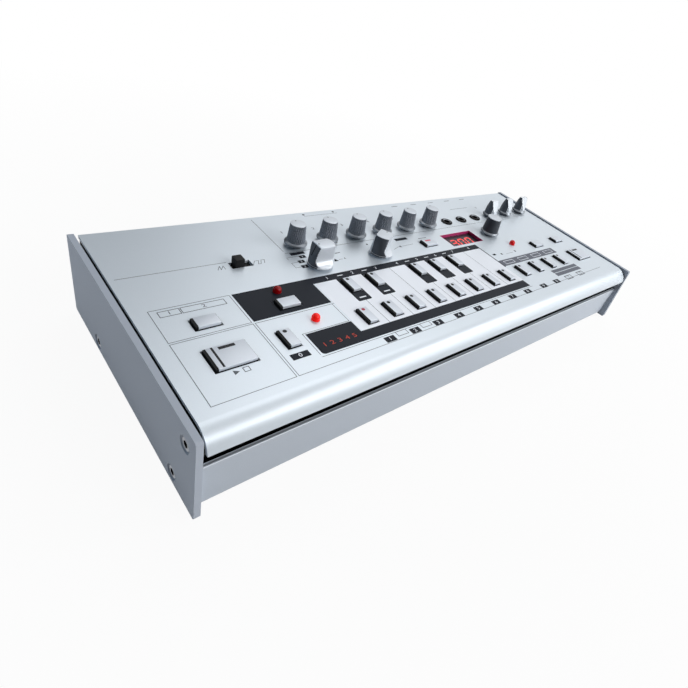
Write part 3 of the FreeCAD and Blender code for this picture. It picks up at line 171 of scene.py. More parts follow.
# Bright metal on the tray's top edge: painted highlight.
EDGE_PAINTED_HIGHLIGHT = grained("edge_painted_highlight", (226, 231, 238), 0.9, 0.3)
BLACK_METAL = grained("black_metal", (14, 14, 16), 0.0, 0.6, size=0.5, specular=0.2)
BLACK_PLASTIC = grained("black_plastic", (10, 11, 14), 0.0, 0.6, size=0.6, spread=0.08,
                        specular=0.2)
GLOSS_BLACK = grained("gloss_black", (4, 4, 5), 0.0, 0.35, size=1.5, height=0.002, specular=0.05)
CAP_SILVER = grained("cap_silver", (212, 219, 228), 0.15, 0.4, spread=0.015)
KNOB_TOP = grained("knob_top", (200, 207, 215), 0.3, 0.4)
# The knurled sides of the dials: a darker copy of the knob silver, painted shade.
KNOB_SIDE_PAINTED_SHADE = grained("knob_side_painted_shade", (124, 129, 137), 0.6, 0.42, spread=0.05)
# A lit and a shaded copy of the knob silver: painted light on the flanks of selectors and effect
# knobs, painted shade on their ends.
KNOB_PAINTED_LIGHT = grained("knob_painted_light", (224, 230, 237), 0.3, 0.35)
KNOB_PAINTED_SHADE = grained("knob_painted_shade", (84, 89, 96), 0.4, 0.32, spread=0.03, specular=0.3)
KNOB_COLLAR = grained("knob_collar", (140, 146, 153), 0.5, 0.34, spread=0.03, specular=0.4)
KNOB_DARK = grained("knob_dark", (62, 66, 72), 0.5, 0.4, spread=0.04, specular=0.3)
STEEL = grained("steel", (150, 155, 163), 0.5, 0.35)
# Near black without sheen for the screw sockets: painted shade.
SOCKET_PAINTED_SHADE = grained("socket_painted_shade", (6, 6, 8), 0.0, 0.6, specular=0.0)
RUBBER = grained("rubber", (20, 20, 21), 0.0, 0.8, size=0.8, spread=0.1, height=0.02, specular=0.2)
BOARD = grained("board_lacquer", (14, 78, 44), 0.0, 0.35, size=2.0, spread=0.15, coat=0.3)
PRINT_DARK = grained("print_dark", (27, 32, 41), 0.0, 0.5, specular=0.1)
PRINT_WHITE = grained("print_white", (236, 241, 249), 0.15, 0.45, spread=0.01)
PRINT_LINE = grained("print_line", (84, 90, 98), 0.0, 0.5, specular=0.3)
PRINT_GREY = grained("print_grey", (104, 109, 120), 0.0, 0.45, specular=0.15)
PRINT_RED = grained("print_red", (196, 66, 48), 0.0, 0.5, spread=0.03, specular=0.2)
MARK_DARK = grained("mark_dark", (22, 24, 29), 0.0, 0.45, size=0.5, specular=0.2)
MARK_RED = grained("mark_red", (176, 32, 66), 0.0, 0.4, size=0.5, spread=0.03, specular=0.3)
MARK_PINK = grained("mark_pink", (226, 112, 128), 0.0, 0.4, size=0.5, spread=0.03, specular=0.3)
LAMP_LOW = lit("lamp_low", (140, 0, 6), 0.1)
LAMP_MID = lit("lamp_mid", (190, 8, 14), 0.3)
LAMP_HIGH = lit("lamp_high", (232, 20, 12), 0.45)
WINDOW = grained("window_face", (46, 42, 50), 0.0, 0.2, size=2.0, spread=0.04, height=0.001,
                 specular=0.2)
WINDOW_EDGE = grained("window_edge", (190, 50, 112), 0.0, 0.3, size=1.0, spread=0.06, specular=0.3)
DIGIT_LIT = lit("digit_lit", (236, 62, 60), 0.7)
DIGIT_UNLIT = grained("digit_unlit", (88, 66, 76), 0.0, 0.3, size=1.0)


# Mesh helpers. A face's material is given as its place in the piece's list of materials.

def piece(name, maker, materials, body, node=None, sharp_angle=32):
    """Turn a bmesh in millimetres into a piece that rides on a body, and may replace a node."""
    mesh = bpy.data.meshes.new(name)
    bmesh.ops.scale(maker, vec=(MM, MM, MM), verts=maker.verts)
    bmesh.ops.recalc_face_normals(maker, faces=maker.faces)
    maker.to_mesh(mesh)
    maker.free()
    for material in materials:
        mesh.materials.append(material)
    for polygon in mesh.polygons:
        polygon.use_smooth = True
    mesh.set_sharp_from_angle(angle=math.radians(sharp_angle))
    thing = bpy.data.objects.new(name, mesh)
    bpy.context.scene.collection.objects.link(thing)
    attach(thing, body)
    if node:
        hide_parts(node)
    return thing


def rectangle(x0, y0, x1, y1):
    """Corners of a level box, from lower left, counterclockwise."""
    return [(x0, y0), (x1, y0), (x1, y1), (x0, y1)]


def add_box(maker, low, high, material):
    """Add a closed box between two corners and give its faces: bottom, top, then front to left."""
    corners = [maker.verts.new((x, y, z)) for z in (low[2], high[2])
               for x, y in rectangle(low[0], low[1], high[0], high[1])]
    faces = [(3, 2, 1, 0), (4, 5, 6, 7), (0, 1, 5, 4), (1, 2, 6, 5), (2, 3, 7, 6), (3, 0, 4, 7)]
    made = [maker.faces.new([corners[index] for index in face]) for face in faces]
    for face in made:
        face.material_index = material
    return made


def add_rings(maker, rings, material=0, closed=True):
    """Join rings of points into a skin, with a flat face at each end when closed."""
    loops = [[maker.verts.new(point) for point in ring] for ring in rings]
    count = len(loops[0])
    for below, above in zip(loops, loops[1:]):
        for index in range(count):
            after = (index + 1) % count
            face = maker.faces.new((below[index], below[after], above[after], above[index]))
            face.material_index = material
    if closed:
        for loop in (loops[0], loops[-1]):
            face = maker.faces.new(loop)
            face.material_index = material


def circle_points(x, y, z, radius, count):
    """Points on a level circle, counterclockwise from the right."""
    angles = [2 * math.pi * n / count for n in range(count)]
    return [(x + radius * math.cos(angle), y + radius * math.sin(angle), z) for angle in angles]


def add_turned(maker, x, y, profile, count, material=0):
    """Add a turned solid about a vertical axis. profile is (radius, height) from low to high."""
    add_rings(maker, [circle_points(x, y, z, radius, count) for radius, z in profile], material)


def add_disc(maker, x, y, low, high, radius, material, count=24):
    """Add a round upright block, such as the dot on a key."""
    add_turned(maker, x, y, [(radius, low), (radius, high)], count, material)


def soft_min(one, other, blend):
    """The smaller of two numbers, rounded where they are close."""
    part = max(blend - abs(one - other), 0) / blend
    return min(one, other) - part * part * blend / 4


def between(low, high, part):
    """The number at a part of the way from low to high."""
    return low + (high - low) * part


# Printed marks: thin sheets of ink on the panel

INK = 0.02
LINE_WIDE = 0.24
prints = defaultdict(bmesh.new)  # a bmesh for each kind of ink


def print_shape(kind, points, level=1):
    """Print a filled outline. level lifts it over what is printed beneath."""
    maker = prints[kind]
    low = [maker.verts.new((x, y, PANEL_TOP)) for x, y in points]
    high = [maker.verts.new((x, y, PANEL_TOP + INK * level)) for x, y in points]
    maker.faces.new(high)
    maker.faces.new(low[::-1])
    for index in range(len(points)):
        after = (index + 1) % len(points)
        maker.faces.new((low[index], low[after], high[after], high[index]))


def print_box(kind, x0, y0, x1, y1, level=1):
    """Print a filled box."""
    print_shape(kind, rectangle(x0, y0, x1, y1), level)


def rounded(x0, y0, x1, y1, radii):
    """Outline of a box with a radius at each corner, in the same order."""
    arc_steps = 5
    corners = [(x0, y0, 1, 1), (x1, y0, -1, 1), (x1, y1, -1, -1), (x0, y1, 1, -1)]
    points = []
    for turn, ((x, y, dx, dy), radius) in enumerate(zip(corners, radii)):
        if radius == 0:
            points.append((x, y))
            continue
        for step in range(arc_steps + 1):
            angle = math.pi * (1 + turn / 2) + math.pi / 2 * step / arc_steps
            points.append((x + dx * radius + radius * math.cos(angle),
                           y + dy * radius + radius * math.sin(angle)))
    return points


def print_line(x0, y0, x1, y1, kind="line", wide=LINE_WIDE, level=1):
    """Print a straight line whose ends reach half its width past its points."""
    along = Vector((x1 - x0, y1 - y0)).normalized() * (wide / 2)
    across = Vector((-along.y, along.x))
    start = Vector((x0, y0)) - along
    end = Vector((x1, y1)) + along
    corners = [start + across, start - across, end - across, end + across]
    print_shape(kind, corners, level)


def print_path(points):
    """Print a row of lines from point to point."""
    for start, end in zip(points, points[1:]):
        print_line(*start, *end)


def print_frame(x0, y0, x1, y1, kind="line", wide=LINE_WIDE, level=1):
    """Print a box as four thin lines that meet at its corners."""
    half = wide / 2
    for box in ((x0 - half, y0 - half, x1 + half, y0 + half),
                (x0 - half, y1 - half, x1 + half, y1 + half),
                (x0 - half, y0 + half, x0 + half, y1 - half),
                (x1 - half, y0 + half, x1 + half, y1 - half)):
        print_box(kind, *box, level)


def print_holed(kind, x0, y0, x1, y1, holes):
    """Print a box that leaves out rectangular holes, as strips between the holes' edges."""
    edges = [y for hole in holes for y in (hole[1], hole[3])]
    rows = sorted({y0, y1} | {y for y in edges if y0 < y < y1})
    for low, high in zip(rows, rows[1:]):
        middle = (low + high) / 2
        gaps = sorted((hole[0], hole[2]) for hole in holes if hole[1] < middle < hole[3])
        left = x0
        for start, end in gaps + [(x1, x1)]:
            if start > left:
                print_box(kind, left, low, start, high)
            left = end


def hole_of(node):
    """Give the aperture of a button as left, low, right and top, from the button's own box."""
    low, high = box_mm(node)
    return (low.x + RIM_OUT, low.y + RIM_OUT, high.x - RIM_OUT, high.y - RIM_OUT)


def middle_of(node):
    """Give the middle of a node's box."""
    low, high = box_mm(node)
    return (low + high) / 2


def print_number(kind, text, x, y, size, level=2, stretch=1.0):
    """Print a plain number round its middle, with its foot towards the front."""
    curve = bpy.data.curves.new("numeral", "FONT")
    curve.body = text
    curve.size = size
    curve.align_x = "CENTER"
    curve.align_y = "CENTER"
    holder = bpy.data.objects.new("numeral", curve)
    bpy.context.scene.collection.objects.link(holder)
    bpy.context.view_layer.update()
    graph = bpy.context.evaluated_depsgraph_get()
    mesh = bpy.data.meshes.new_from_object(holder.evaluated_get(graph))
    bpy.data.objects.remove(holder)
    bpy.data.curves.remove(curve)
    shift = Matrix.Translation((x, y, PANEL_TOP + INK * level))
    mesh.transform(shift @ Matrix.Diagonal((stretch, 1, 1, 1)))
    prints[kind].from_mesh(mesh)
    bpy.data.meshes.remove(mesh)


def print_tag(x, y, wide, deep, text=""):
    """Print a dark tag with a plain pale number."""
    print_box("dark", x - wide / 2, y - deep / 2, x + wide / 2, y + deep / 2, 2)
    if text:
        print_number("white", text, x, y, deep * 0.82, level=3, stretch=1.15)


def print_disc(x, y, radius):
    """Print a small dark disc."""
    print_shape("dark", [point[:2] for point in circle_points(x, y, 0, radius, 12)])


# Places of the prints, measured from the photograph on the panel's plane.
FRAME_LEFT = -144.0
FRAME_SPLIT = -112.2
FRAME_NEXT = -111.2
FRAME_LOW = -51.6
FRAME_MID = -18.4
FRAME_MID_2 = -17.4
FRAME_TOP = 2.3
DARK_LEFT = -96.6
FIELD_LEFT = -72.6
FIELD_RIGHT = 51.4
FIELD_LOW = -39.6
STRIP_LOW = -45.6
FIELD_TOP = -2.2
NOTE_TOP = 2.4
TAG_Y = -49.2
TAG_WIDE = 5.8
TAG_DEEP = 3.4
SHARP_LOW = -21.5
SHARP_HALF = 4.0
SHARP_BAR_LOW = -19.4
SHARP_BAR_TOP = -18.6
STRIP_TOP = -32.2
DIGIT_Y = -40.8
PLAY_LINE_LEFT = DARK_LEFT - 1.0
PLAY_LINE_TOP = -31.6
NUMBER_BOXES = [(-141.2, -133.4), (-132.8, -115.4)]
NUMBER_BOX_LOW = -2.6
NUMBER_BOX_TOP = 0.8
LONG_LINE_LEFT = -72.1
SAW_WAVE = [(-108.2, 21.1), (-106.4, 23.8), (-106.7, 21.0), (-104.8, 23.6), (-104.8, 20.9)]
PULSE_WAVE = [(-91.5, 20.7), (-89.7, 23.4), (-87.7, 23.4), (-89.0, 20.6), (-87.6, 20.7),
              (-86.3, 23.5), (-84.6, 23.5), (-85.8, 20.8)]


def print_left_side():
    """The two boxes at the left, the lines over them, the dark block and the small signs."""
    print_frame(FRAME_LEFT, FRAME_MID_2, FRAME_SPLIT, FRAME_TOP)
    print_frame(FRAME_LEFT, FRAME_LOW, FRAME_SPLIT, FRAME_MID)
    for left, right in NUMBER_BOXES:
        print_frame(left, NUMBER_BOX_LOW, right, NUMBER_BOX_TOP, wide=0.3)
    number_y = (NUMBER_BOX_LOW + NUMBER_BOX_TOP) / 2
    for index, (left, right) in enumerate(NUMBER_BOXES):
        number_x = (left + right) / 2
        print_number("line", str(index + 1), number_x, number_y, 2.8, level=1, stretch=1.3)
    print_line(-147.7, 26.0, -102.2, 26.0)
    print_line(LONG_LINE_LEFT, 27.5, LONG_LINE_LEFT, 60.5)
    print_line(FRAME_NEXT, FRAME_LOW, FRAME_NEXT, FRAME_MID)
    print_line(FRAME_NEXT, FRAME_MID, FIELD_LEFT - 0.4, FRAME_MID)
    print_line(FRAME_NEXT, FRAME_LOW, 132.8, FRAME_LOW + 1.7)
    inner = hole_of("left_inner_button")
    print_holed("dark", FRAME_NEXT, FRAME_MID + 1.1, FIELD_LEFT - 0.9, NOTE_TOP, [inner])
    print_tag(-104.8, -42.1, 8.0, 3.3, "0")
    x, y = middle_of("left_large_button").xy
    print_shape("line", [(x - 2.8, y - 9.6), (x - 0.6, y - 8.4), (x - 2.8, y - 7.2)])
    print_frame(x + 0.9, y - 9.5, x + 3.1, y - 7.3, wide=0.3)
    print_path(SAW_WAVE)
    print_path(PULSE_WAVE)


def print_keyboard():
    """The white field with its separators, the dark strips round it and the number tags."""
    pitch = middle_of("white_key_2").x - middle_of("white_key_1").x
    pads = []
    for node in SHARP_KEYS:
        x = middle_of(node).x
        pads.append((x - SHARP_HALF, SHARP_LOW, x + SHARP_HALF, FIELD_TOP))
    holes = [hole_of(node) for node in WHITE_KEYS]
    print_holed("white", FIELD_LEFT, FIELD_LOW, FIELD_RIGHT - 0.6, FIELD_TOP, holes + pads)
    for node, pad in zip(SHARP_KEYS, pads):
        hole = hole_of(node)
        print_holed("dark", pad[0], hole[1], pad[2], pad[3], [hole])
        print_shape("dark", rounded(pad[0], pad[1], pad[2], hole[1], (0.9, 0.9, 0, 0)))
    left = middle_of("white_key_1").x
    sharps = [round((middle_of(node).x - left) / pitch - 0.5) for node in SHARP_KEYS]
    for index in range(len(WHITE_KEYS) - 1):
        x = left + pitch * (index + 0.5)
        top = SHARP_LOW if index in sharps else FIELD_TOP
        print_line(x, FIELD_LOW, x, top, wide=0.2, level=2)
    print_box("dark", FIELD_LEFT - 0.9, FIELD_TOP, FIELD_RIGHT, NOTE_TOP)
    print_line(FIELD_RIGHT, NOTE_TOP - 0.4, FIELD_RIGHT, -24.4, "dark", 0.8)
    print_shape("dark", rounded(DARK_LEFT, STRIP_LOW, FIELD_LEFT - 0.7, STRIP_TOP, (1.6, 0, 0, 0)))
    print_box("dark", FIELD_LEFT - 0.7, STRIP_LOW, FIELD_RIGHT - 1.2, FIELD_LOW - 0.1)
    print_line(FIELD_LEFT - 1.4, FRAME_MID, FIELD_LEFT - 1.4, PLAY_LINE_TOP)
    print_line(PLAY_LINE_LEFT, PLAY_LINE_TOP, FIELD_LEFT - 1.4, PLAY_LINE_TOP)
    print_line(PLAY_LINE_LEFT, PLAY_LINE_TOP, PLAY_LINE_LEFT, -45.0)
    print_line(PLAY_LINE_LEFT, -46.5, FIELD_RIGHT, -46.5)
    note_y = (FIELD_TOP + NOTE_TOP) / 2
    for index in range(len(WHITE_KEYS)):
        print_number("white", str(index + 1), left + pitch * index, note_y, 2.6, stretch=1.2)
    for index in sharps:
        x = left + pitch * (index + 0.5)
        print_box("white", x - 1.6, note_y - 0.25, x + 1.6, note_y + 0.25, 2)
    for index, node in enumerate(WHITE_KEYS + SIDE_KEYS):
        x = middle_of(node).x
        if index < 10:
            print_tag(x, TAG_Y, TAG_WIDE, TAG_DEEP, str((index + 1) % 10))
        else:
            print_frame(x - 3.4, TAG_Y - 1.6, x + 3.4, TAG_Y + 1.6, wide=0.6)
            print_number("line", str(index + 1), x, TAG_Y, 2.6, level=1, stretch=1.15)
    for index in (0, 1):
        x = left + pitch * (index + 0.52)
        print_frame(x - 3.0, TAG_Y - 0.1, x + 3.0, TAG_Y + 2.7, wide=0.3)
        x = middle_of(SHARP_KEYS[index]).x
        print_box("white", x - 1.9, SHARP_BAR_LOW, x + 1.9, SHARP_BAR_TOP, 2)
    for index in range(5):
        x = between(DARK_LEFT + 4, FIELD_LEFT - 5, index / 4)
        print_number("red", str(index + 1), x, DIGIT_Y, 3.4, stretch=1.3)


# Boxes as left, low, right and top, and lines from point to point.
DARK_DASHES = [(54.6, -12.2, 57.4, -10.6), (61.9, -13.2, 63.2, -11.6), (76.5, -13.4, 77.8, -11.8)]
GREY_STRIPS = [(82.4, -42.1, 112.6, -39.3), (82.4, -45.7, 112.6, -42.6)]
BRACKET_ENDS = [(-40.1, 60.3), (-19.6, 60.3)]
REAR_DASHES = [29.7, 47.3, 64.4, 81.6, 98.8]
SELECTOR_TAGS = [(-65.3, 20.6), (-68.2, 16.7), (-68.9, 12.4)]
SELECTOR_LINKS = [(-73.6, 21.6, -67.2, 21.6), (-73.6, 21.6, -73.6, 19.8),
                  (-73.8, 16.7, -70.2, 16.7), (-73.8, 16.7, -73.8, 12.4),
                  (-73.8, 12.4, -70.8, 12.4)]


def print_right_side():
    """The grey strips and small dark marks by the four keys on the right."""
    print_box("grey", FIELD_RIGHT, -24.2, 113.3, -18.1)
    for node in SIDE_KEYS:
        x = middle_of(node).x
        print_frame(x - 4.6, -22.6, x + 4.6, -19.7, "white", 0.35, 2)
    for dash in DARK_DASHES:
        print_box("dark", *dash)
    print_line(66.6, -13.3, 73.6, -13.3, wide=0.2)
    for strip in GREY_STRIPS:
        print_box("grey", *strip)


def print_knob_marks():
    """The long line, plain numbers over the knobs, and the tags and marks between them."""
    print_line(LONG_LINE_LEFT, 25.6, 86.0, 25.6)
    for index, node in enumerate(DIALS + EFFECT_KNOBS):
        x, y = middle_of(node).xy
        print_number("line", str(index + 1), x, y + 13.5, 3.0, level=1, stretch=1.3)
    for x, y in BRACKET_ENDS:
        print_disc(x, y, 0.75)
    print_line(-40.6, 58.6, -17.7, 58.6, wide=0.2)
    for x in REAR_DASHES:
        print_line(x - 2.4, 59.0, x + 2.4, 59.0, wide=0.5)
    print_line(73.3, 46.8, 91.9, 46.8, wide=0.3)
    print_tag(-66.2, 24.0, 8.0, 2.2)
    for index, (x, y) in enumerate(SELECTOR_TAGS):
        print_tag(x, y, 3.5, 2.4, str(index + 1))
    for link in SELECTOR_LINKS:
        print_line(*link, wide=0.2)
    print_disc(-38.9, 28.8, 0.8)
    print_line(-46.4, 18.7, -43.8, 18.7, wide=0.6)
    print_shape("dark", [(-51.7, 11.8), (-48.9, 11.8), (-50.2, 14.2)])
    print_line(-48.2, 12.8, -46.0, 12.8, wide=0.2)
    print_number("line", "4", -44.4, 12.8, 2.4, level=1)
    print_disc(-22.6, 21.9, 0.6)
    print_tag(3.0, 21.4, 9.4, 2.4)
    print_shape("line", [(-4.6, 14.2), (-2.8, 13.4), (-2.8, 15.6)])
    print_line(-9.6, 12.8, -4.6, 14.6, wide=0.2)
    print_line(-2.6, 14.4, 7.0, 14.7, wide=0.2)
    print_line(15.6, 19.0, 22.0, 19.0, wide=0.4)


def finish_prints():
    """Turn each kind of ink into one piece on the module."""
    finishes = {"dark": PRINT_DARK, "white": PRINT_WHITE, "line": PRINT_LINE,
                "grey": PRINT_GREY, "red": PRINT_RED}
    for kind, maker in prints.items():
        piece("print_" + kind, maker, [finishes[kind]], MODULE)


# Buttons

def add_cap(maker, low, high, radius):
    """Add a cap with rounded upper edges and corners. Sides other than the front are black, as
    painted shade.
    """
    faces = add_box(maker, low, high, 1)
    top, front = faces[1:3]
    top.material_index = 0
    front.material_index = 0
    upper = list(top.edges)
    upright = [edge for edge in maker.edges
               if edge not in upper and abs(edge.verts[0].co.z - edge.verts[1].co.z) > 0.5]
    bmesh.ops.bevel(maker, geom=upper + upright, offset=radius, segments=3, profile=0.6,
                    affect="EDGES", material=-1, clamp_overlap=True)


def settle_faces(maker):
    """Sort the faces by place, as those made after a bevel fill its gaps in a chance order."""
    ordered = sorted(maker.faces, key=lambda face: sorted(vert.co[:] for vert in face.verts))
    for index, face in enumerate(ordered):
        face.index = index
    maker.faces.sort()


def make_button(node):
    """A silver cap whose black sides and left strip are painted shade, with a black body under the
    panel, its rim, its stem and the mark on its top.
    """
    low, high = box_mm(node)
    inset = RIM_OUT + CAP_GAP
    top = high.z
    rim_top = PANEL_TOP - PANEL_THICK - 0.1
    left = low.x + inset
    right = high.x - inset
    front = low.y + inset
    rear = high.y - inset
    side = left + PAINTED_SHADE_SIDE
    slab = PANEL_TOP + 0.1
    rim_thick = 0.8
    stem_half = 1.4
    rounding = 0.38
    maker = bmesh.new()
    # The cap's black sides and the black strip along its left side are painted shade.
    add_cap(maker, (side, front, slab), (right, rear, top), rounding)
    add_box(maker, (left, front + 0.1, rim_top - 0.2), (side + 0.3, rear, top - 0.25), 1)
    add_box(maker, (left + 0.3, front, rim_top - 0.2), (right, rear, slab), 1)
    add_box(maker, (low.x, low.y, rim_top - rim_thick), (high.x, high.y, rim_top), 1)
    x, y = middle_of(node).xy
    stem_low = (x - stem_half, y - stem_half, low.z)
    add_box(maker, stem_low, (x + stem_half, y + stem_half, rim_top - 0.7), 1)
    if node in KEYS:
        mark = 3 if node == "white_key_1" else 2
        add_disc(maker, x + 0.1, y + 3.4, top - 0.2, top + 0.02, 0.9, mark)
    elif node in LARGE_BUTTONS:
        add_box(maker, (x - 2.75, y + 3.5, top - 0.2), (x + 3.55, y + 5.0, top + 0.02), 2)
        add_box(maker, (x - 5.3, front + 0.3, top - 0.3), (x - 4.45, rear - 0.2, top + 0.01), 2)
    elif node == "centre_button":
        add_box(maker, (x - 2.2, y + 0.7, top - 0.2), (x + 2.2, y + 1.9, top + 0.02), 4)
    settle_faces(maker)
    materials = [CAP_SILVER, BLACK_PLASTIC, MARK_DARK, MARK_RED, MARK_PINK]
    piece(node + "_cap", maker, materials, node, node)


# Turned controls

def paint_shade_on_ends(maker, material, turn, limit):
    """Give the steep faces that look along a bar at an angle another material, darker as painted
    shade.
    """
    maker.normal_update()
    along = Vector((math.cos(turn), math.sin(turn), 0))
    for face in maker.faces:
        if abs(face.normal.dot(along)) > limit and abs(face.normal.z) < 0.7:
            face.material_index = material


def add_radial(maker, x, y, base, heights, radius_at, count, material, turn=0.0):
    """Add a solid whose radius depends on the angle and the height over its base."""
    rings = []
    for height in heights:
        ring = []
        for index in range(count):
            angle = 2 * math.pi * index / count
            radius = radius_at(angle, height)
            place = angle + turn
            ring.append((x + radius * math.cos(place), y + radius * math.sin(place), base + height))
        rings.append(ring)
    add_rings(maker, rings, material)


def steps(low, high, count):
    """Evenly spaced heights, both ends included."""
    return [between(low, high, index / count) for index in range(count + 1)]


def triangle_wave(turns):
    """Go from 0 to 1 and back once for each whole turn."""
    return 1 - abs(2 * (turns % 1) - 1)


def add_collar(maker, x, y, base, skirt, profile, material):
    """Add a low ring. profile gives each circle as its distance inside the skirt and its height."""
    circles = [(skirt - inside, base + height) for inside, height in profile]
    add_turned(maker, x, y, circles, ROUND_STEPS, material)


def start_knob(node, shaft_material):
    """Begin a knob with its shaft. Give the bmesh, the middle, the underside's height, the knob's
    own height and the radius of its skirt.
    """
    low, high = box_mm(node)
    x, y = middle_of(node).xy
    base = PANEL_TOP + KNOB_LIFT
    maker = bmesh.new()
    shaft = [(SHAFT_RADIUS, low.z), (SHAFT_RADIUS, base + 0.3)]
    add_turned(maker, x, y, shaft, 24, shaft_material)
    return maker, x, y, base, high.z - base - TOP_GAP, (high.x - low.x) / 2


def make_dial(node):
    """A knurled body that tapers from a plain collar to a bevelled top."""
    maker, x, y, base, tall, skirt = start_knob(node, 3)
    foot = 4.75
    head = 3.98
    knurl_low = 2.4
    knurl_high = tall - 0.3
    knurl_count = 24
    knurl_pitch = 1.4
    knurl_deep = 0.32
    collar = [(1.0, 0.35), (0.75, 0.47), (0.65, 0.7), (0.65, 1.3), (0.75, 1.5), (1.1, 1.7),
              (1.6, 1.9), (2.0, 2.2)]
    add_collar(maker, x, y, base, skirt, collar, 2)

    def radius_at(angle, height):
        part = (height - knurl_low) / (knurl_high - knurl_low)
        radius = between(foot, head, max(0.0, min(1.0, part)))
        if height <= knurl_low or height >= knurl_high:
            return radius
        around = angle / (2 * math.pi) * knurl_count
        up = (height - knurl_low) / knurl_pitch
        peak = min(triangle_wave(around + up / 2), triangle_wave(around - up / 2))
        return radius - knurl_deep * (1 - min(1.0, peak * 1.7))

    knurled = steps(knurl_low + 0.02, knurl_high - 0.02, 40)
    heights = [1.9, knurl_low] + knurled + [knurl_high, knurl_high + 0.1]
    # The knurled sides take the darker copy of the knob silver, as painted shade.
    add_radial(maker, x, y, base, heights, radius_at, 7 * knurl_count, 1)
    top = [(head - 0.3, base + knurl_high - 0.1), (head + 0.01, base + knurl_high),
           (head - 0.02, base + tall - 0.16), (head - 0.14, base + tall - 0.03),
           (head - 0.3, base + tall)]
    add_turned(maker, x, y, top, ROUND_STEPS, 0)
    add_disc(maker, x, y + 2.7, base + tall - 0.1, base + tall + 0.01, 0.36, 3, 12)
    materials = [KNOB_TOP, KNOB_SIDE_PAINTED_SHADE, KNOB_COLLAR, MARK_DARK]
    piece(node + "_knob", maker, materials, node, node, sharp_angle=24)


def selector_radius(tall, shallow):
    """Give a function for a selector's radius at an angle and a height: a round body on a flange,
    scooped to a bar with a slanted nose. shallow keeps one flank nearly straight.
    """
    flange = 6.6
    flange_high = 0.9
    scoop_radius = 3.5
    scoop_high = 4.4
    bar_low = 3.1
    bar_top = 3.9
    nose_low = 5.3

    def radius_at(angle, height):
        across = max(abs(math.sin(angle)), 0.001)
        along = math.cos(angle)
        if height < flange_high:
            rounding = 0.35 * max(0.0, (0.3 - height) / 0.3) ** 2
            return flange - rounding - 0.3 * max(0.0, height - 0.7)
        part = (height - flange_high) / (tall - flange_high)
        body = between(6.15, 5.8, part)
        if angle > math.pi and shallow:
            wall = between(6.1, bar_top, part)
        elif height < scoop_high:
            wall = flange - math.sqrt(scoop_radius ** 2 - (scoop_high - height) ** 2)
        else:
            wall = between(bar_low, bar_top, (height - scoop_high) / (tall - scoop_high))
        radius = soft_min(body, wall / across, 0.3)
        if along < 0 and height > nose_low:
            nose = 4.0 + 0.35 * (tall - height) + 1.2 * max(0.0, 5.9 - height)
            radius = soft_min(radius, nose / max(-along, 0.001), 0.25)
        return radius
    return radius_at


# Counterclockwise from pointing left.
RIGHT_SELECTOR_TURN = math.radians(-147.5)


def make_selector(node, turn, shallow=False):
    """A knob with a scooped bar on top, a slanted nose and an index groove down the nose."""
    maker, x, y, base, tall, _ = start_knob(node, 2)
    shape = selector_radius(tall, shallow)
    straight = tall - 0.35
    heights = [0.0, 0.1, 0.3, 0.7, 0.88, 0.91] + steps(1.1, straight, 36)
    edge = {tall - 0.15: 0.08, tall - 0.04: 0.2, tall: 0.36}

    def radius_at(angle, height):
        return shape(angle, min(height, straight)) - edge.get(height, 0.0)

    add_radial(maker, x, y, base, heights, radius_at, 180, 1, turn)
    # The nose and the far end take painted shade; the flanks are the lit copy, painted light.
    paint_shade_on_ends(maker, 3, turn, 0.72)
    top_heights = [tall - 0.36, tall - 0.15, tall - 0.04, tall]
    add_radial(maker, x, y, base, top_heights, radius_at, 180, 0, turn)
    marks = bmesh.new()
    add_box(marks, (-4.06, -0.26, 5.9), (-3.8, 0.26, tall - 0.3), 2)
    for vert in marks.verts:
        vert.co.x -= (tall - vert.co.z) * 0.35
    add_disc(marks, -2.8, 0, tall - 0.2, tall + 0.02, 0.4, 2, 16)
    place = Matrix.Translation((x, y, base)) @ Matrix.Rotation(turn, 4, "Z")
    bmesh.ops.transform(marks, matrix=place, verts=marks.verts)
    held = bpy.data.meshes.new("marks")
    marks.to_mesh(held)
    marks.free()
    maker.from_mesh(held)
    bpy.data.meshes.remove(held)
    materials = [KNOB_TOP, KNOB_PAINTED_LIGHT, MARK_DARK, KNOB_PAINTED_SHADE]
    piece(node + "_knob", maker, materials, node, node, sharp_angle=38)


def make_effect_knob(node):
    """A cone cut by two slanted flats that leave a ridge, on a plain collar."""
    maker, x, y, base, tall, skirt = start_knob(node, 2)
    collar = [(0.6, 0.2), (0.35, 0.32), (0.25, 0.5), (0.25, 1.0), (0.35, 1.2), (0.7, 1.5),
              (1.1, 1.9)]
    add_collar(maker, x, y, base, skirt, collar, 1)
    cone_low = 1.6
    flat_low = 3.6
    flute_count = 30

    def radius_at(angle, height):
        part = (height - cone_low) / (tall - cone_low)
        cone = between(4.45, 3.6, part) - 0.5 * max(0.0, height - tall + 0.35)
        flute = 0.1 * triangle_wave(angle / (2 * math.pi) * flute_count)
        flat = between(4.4, 1.2, max(0.0, (height - flat_low) / (tall - flat_low)))
        return soft_min(cone - flute, flat / max(abs(math.sin(angle)), 0.001), 0.2)

    heights = [cone_low] + steps(2.0, tall - 0.35, 24) + [tall - 0.2, tall]
    add_radial(maker, x, y, base, heights, radius_at, 6 * flute_count, 0)
    # The ends of the ridge take painted shade; the rest is the lit copy, painted light.
    paint_shade_on_ends(maker, 3, 0.0, 0.5)
    materials = [KNOB_PAINTED_LIGHT, KNOB_COLLAR, MARK_DARK, KNOB_PAINTED_SHADE]
    piece(node + "_knob", maker, materials, node, node, sharp_angle=35)


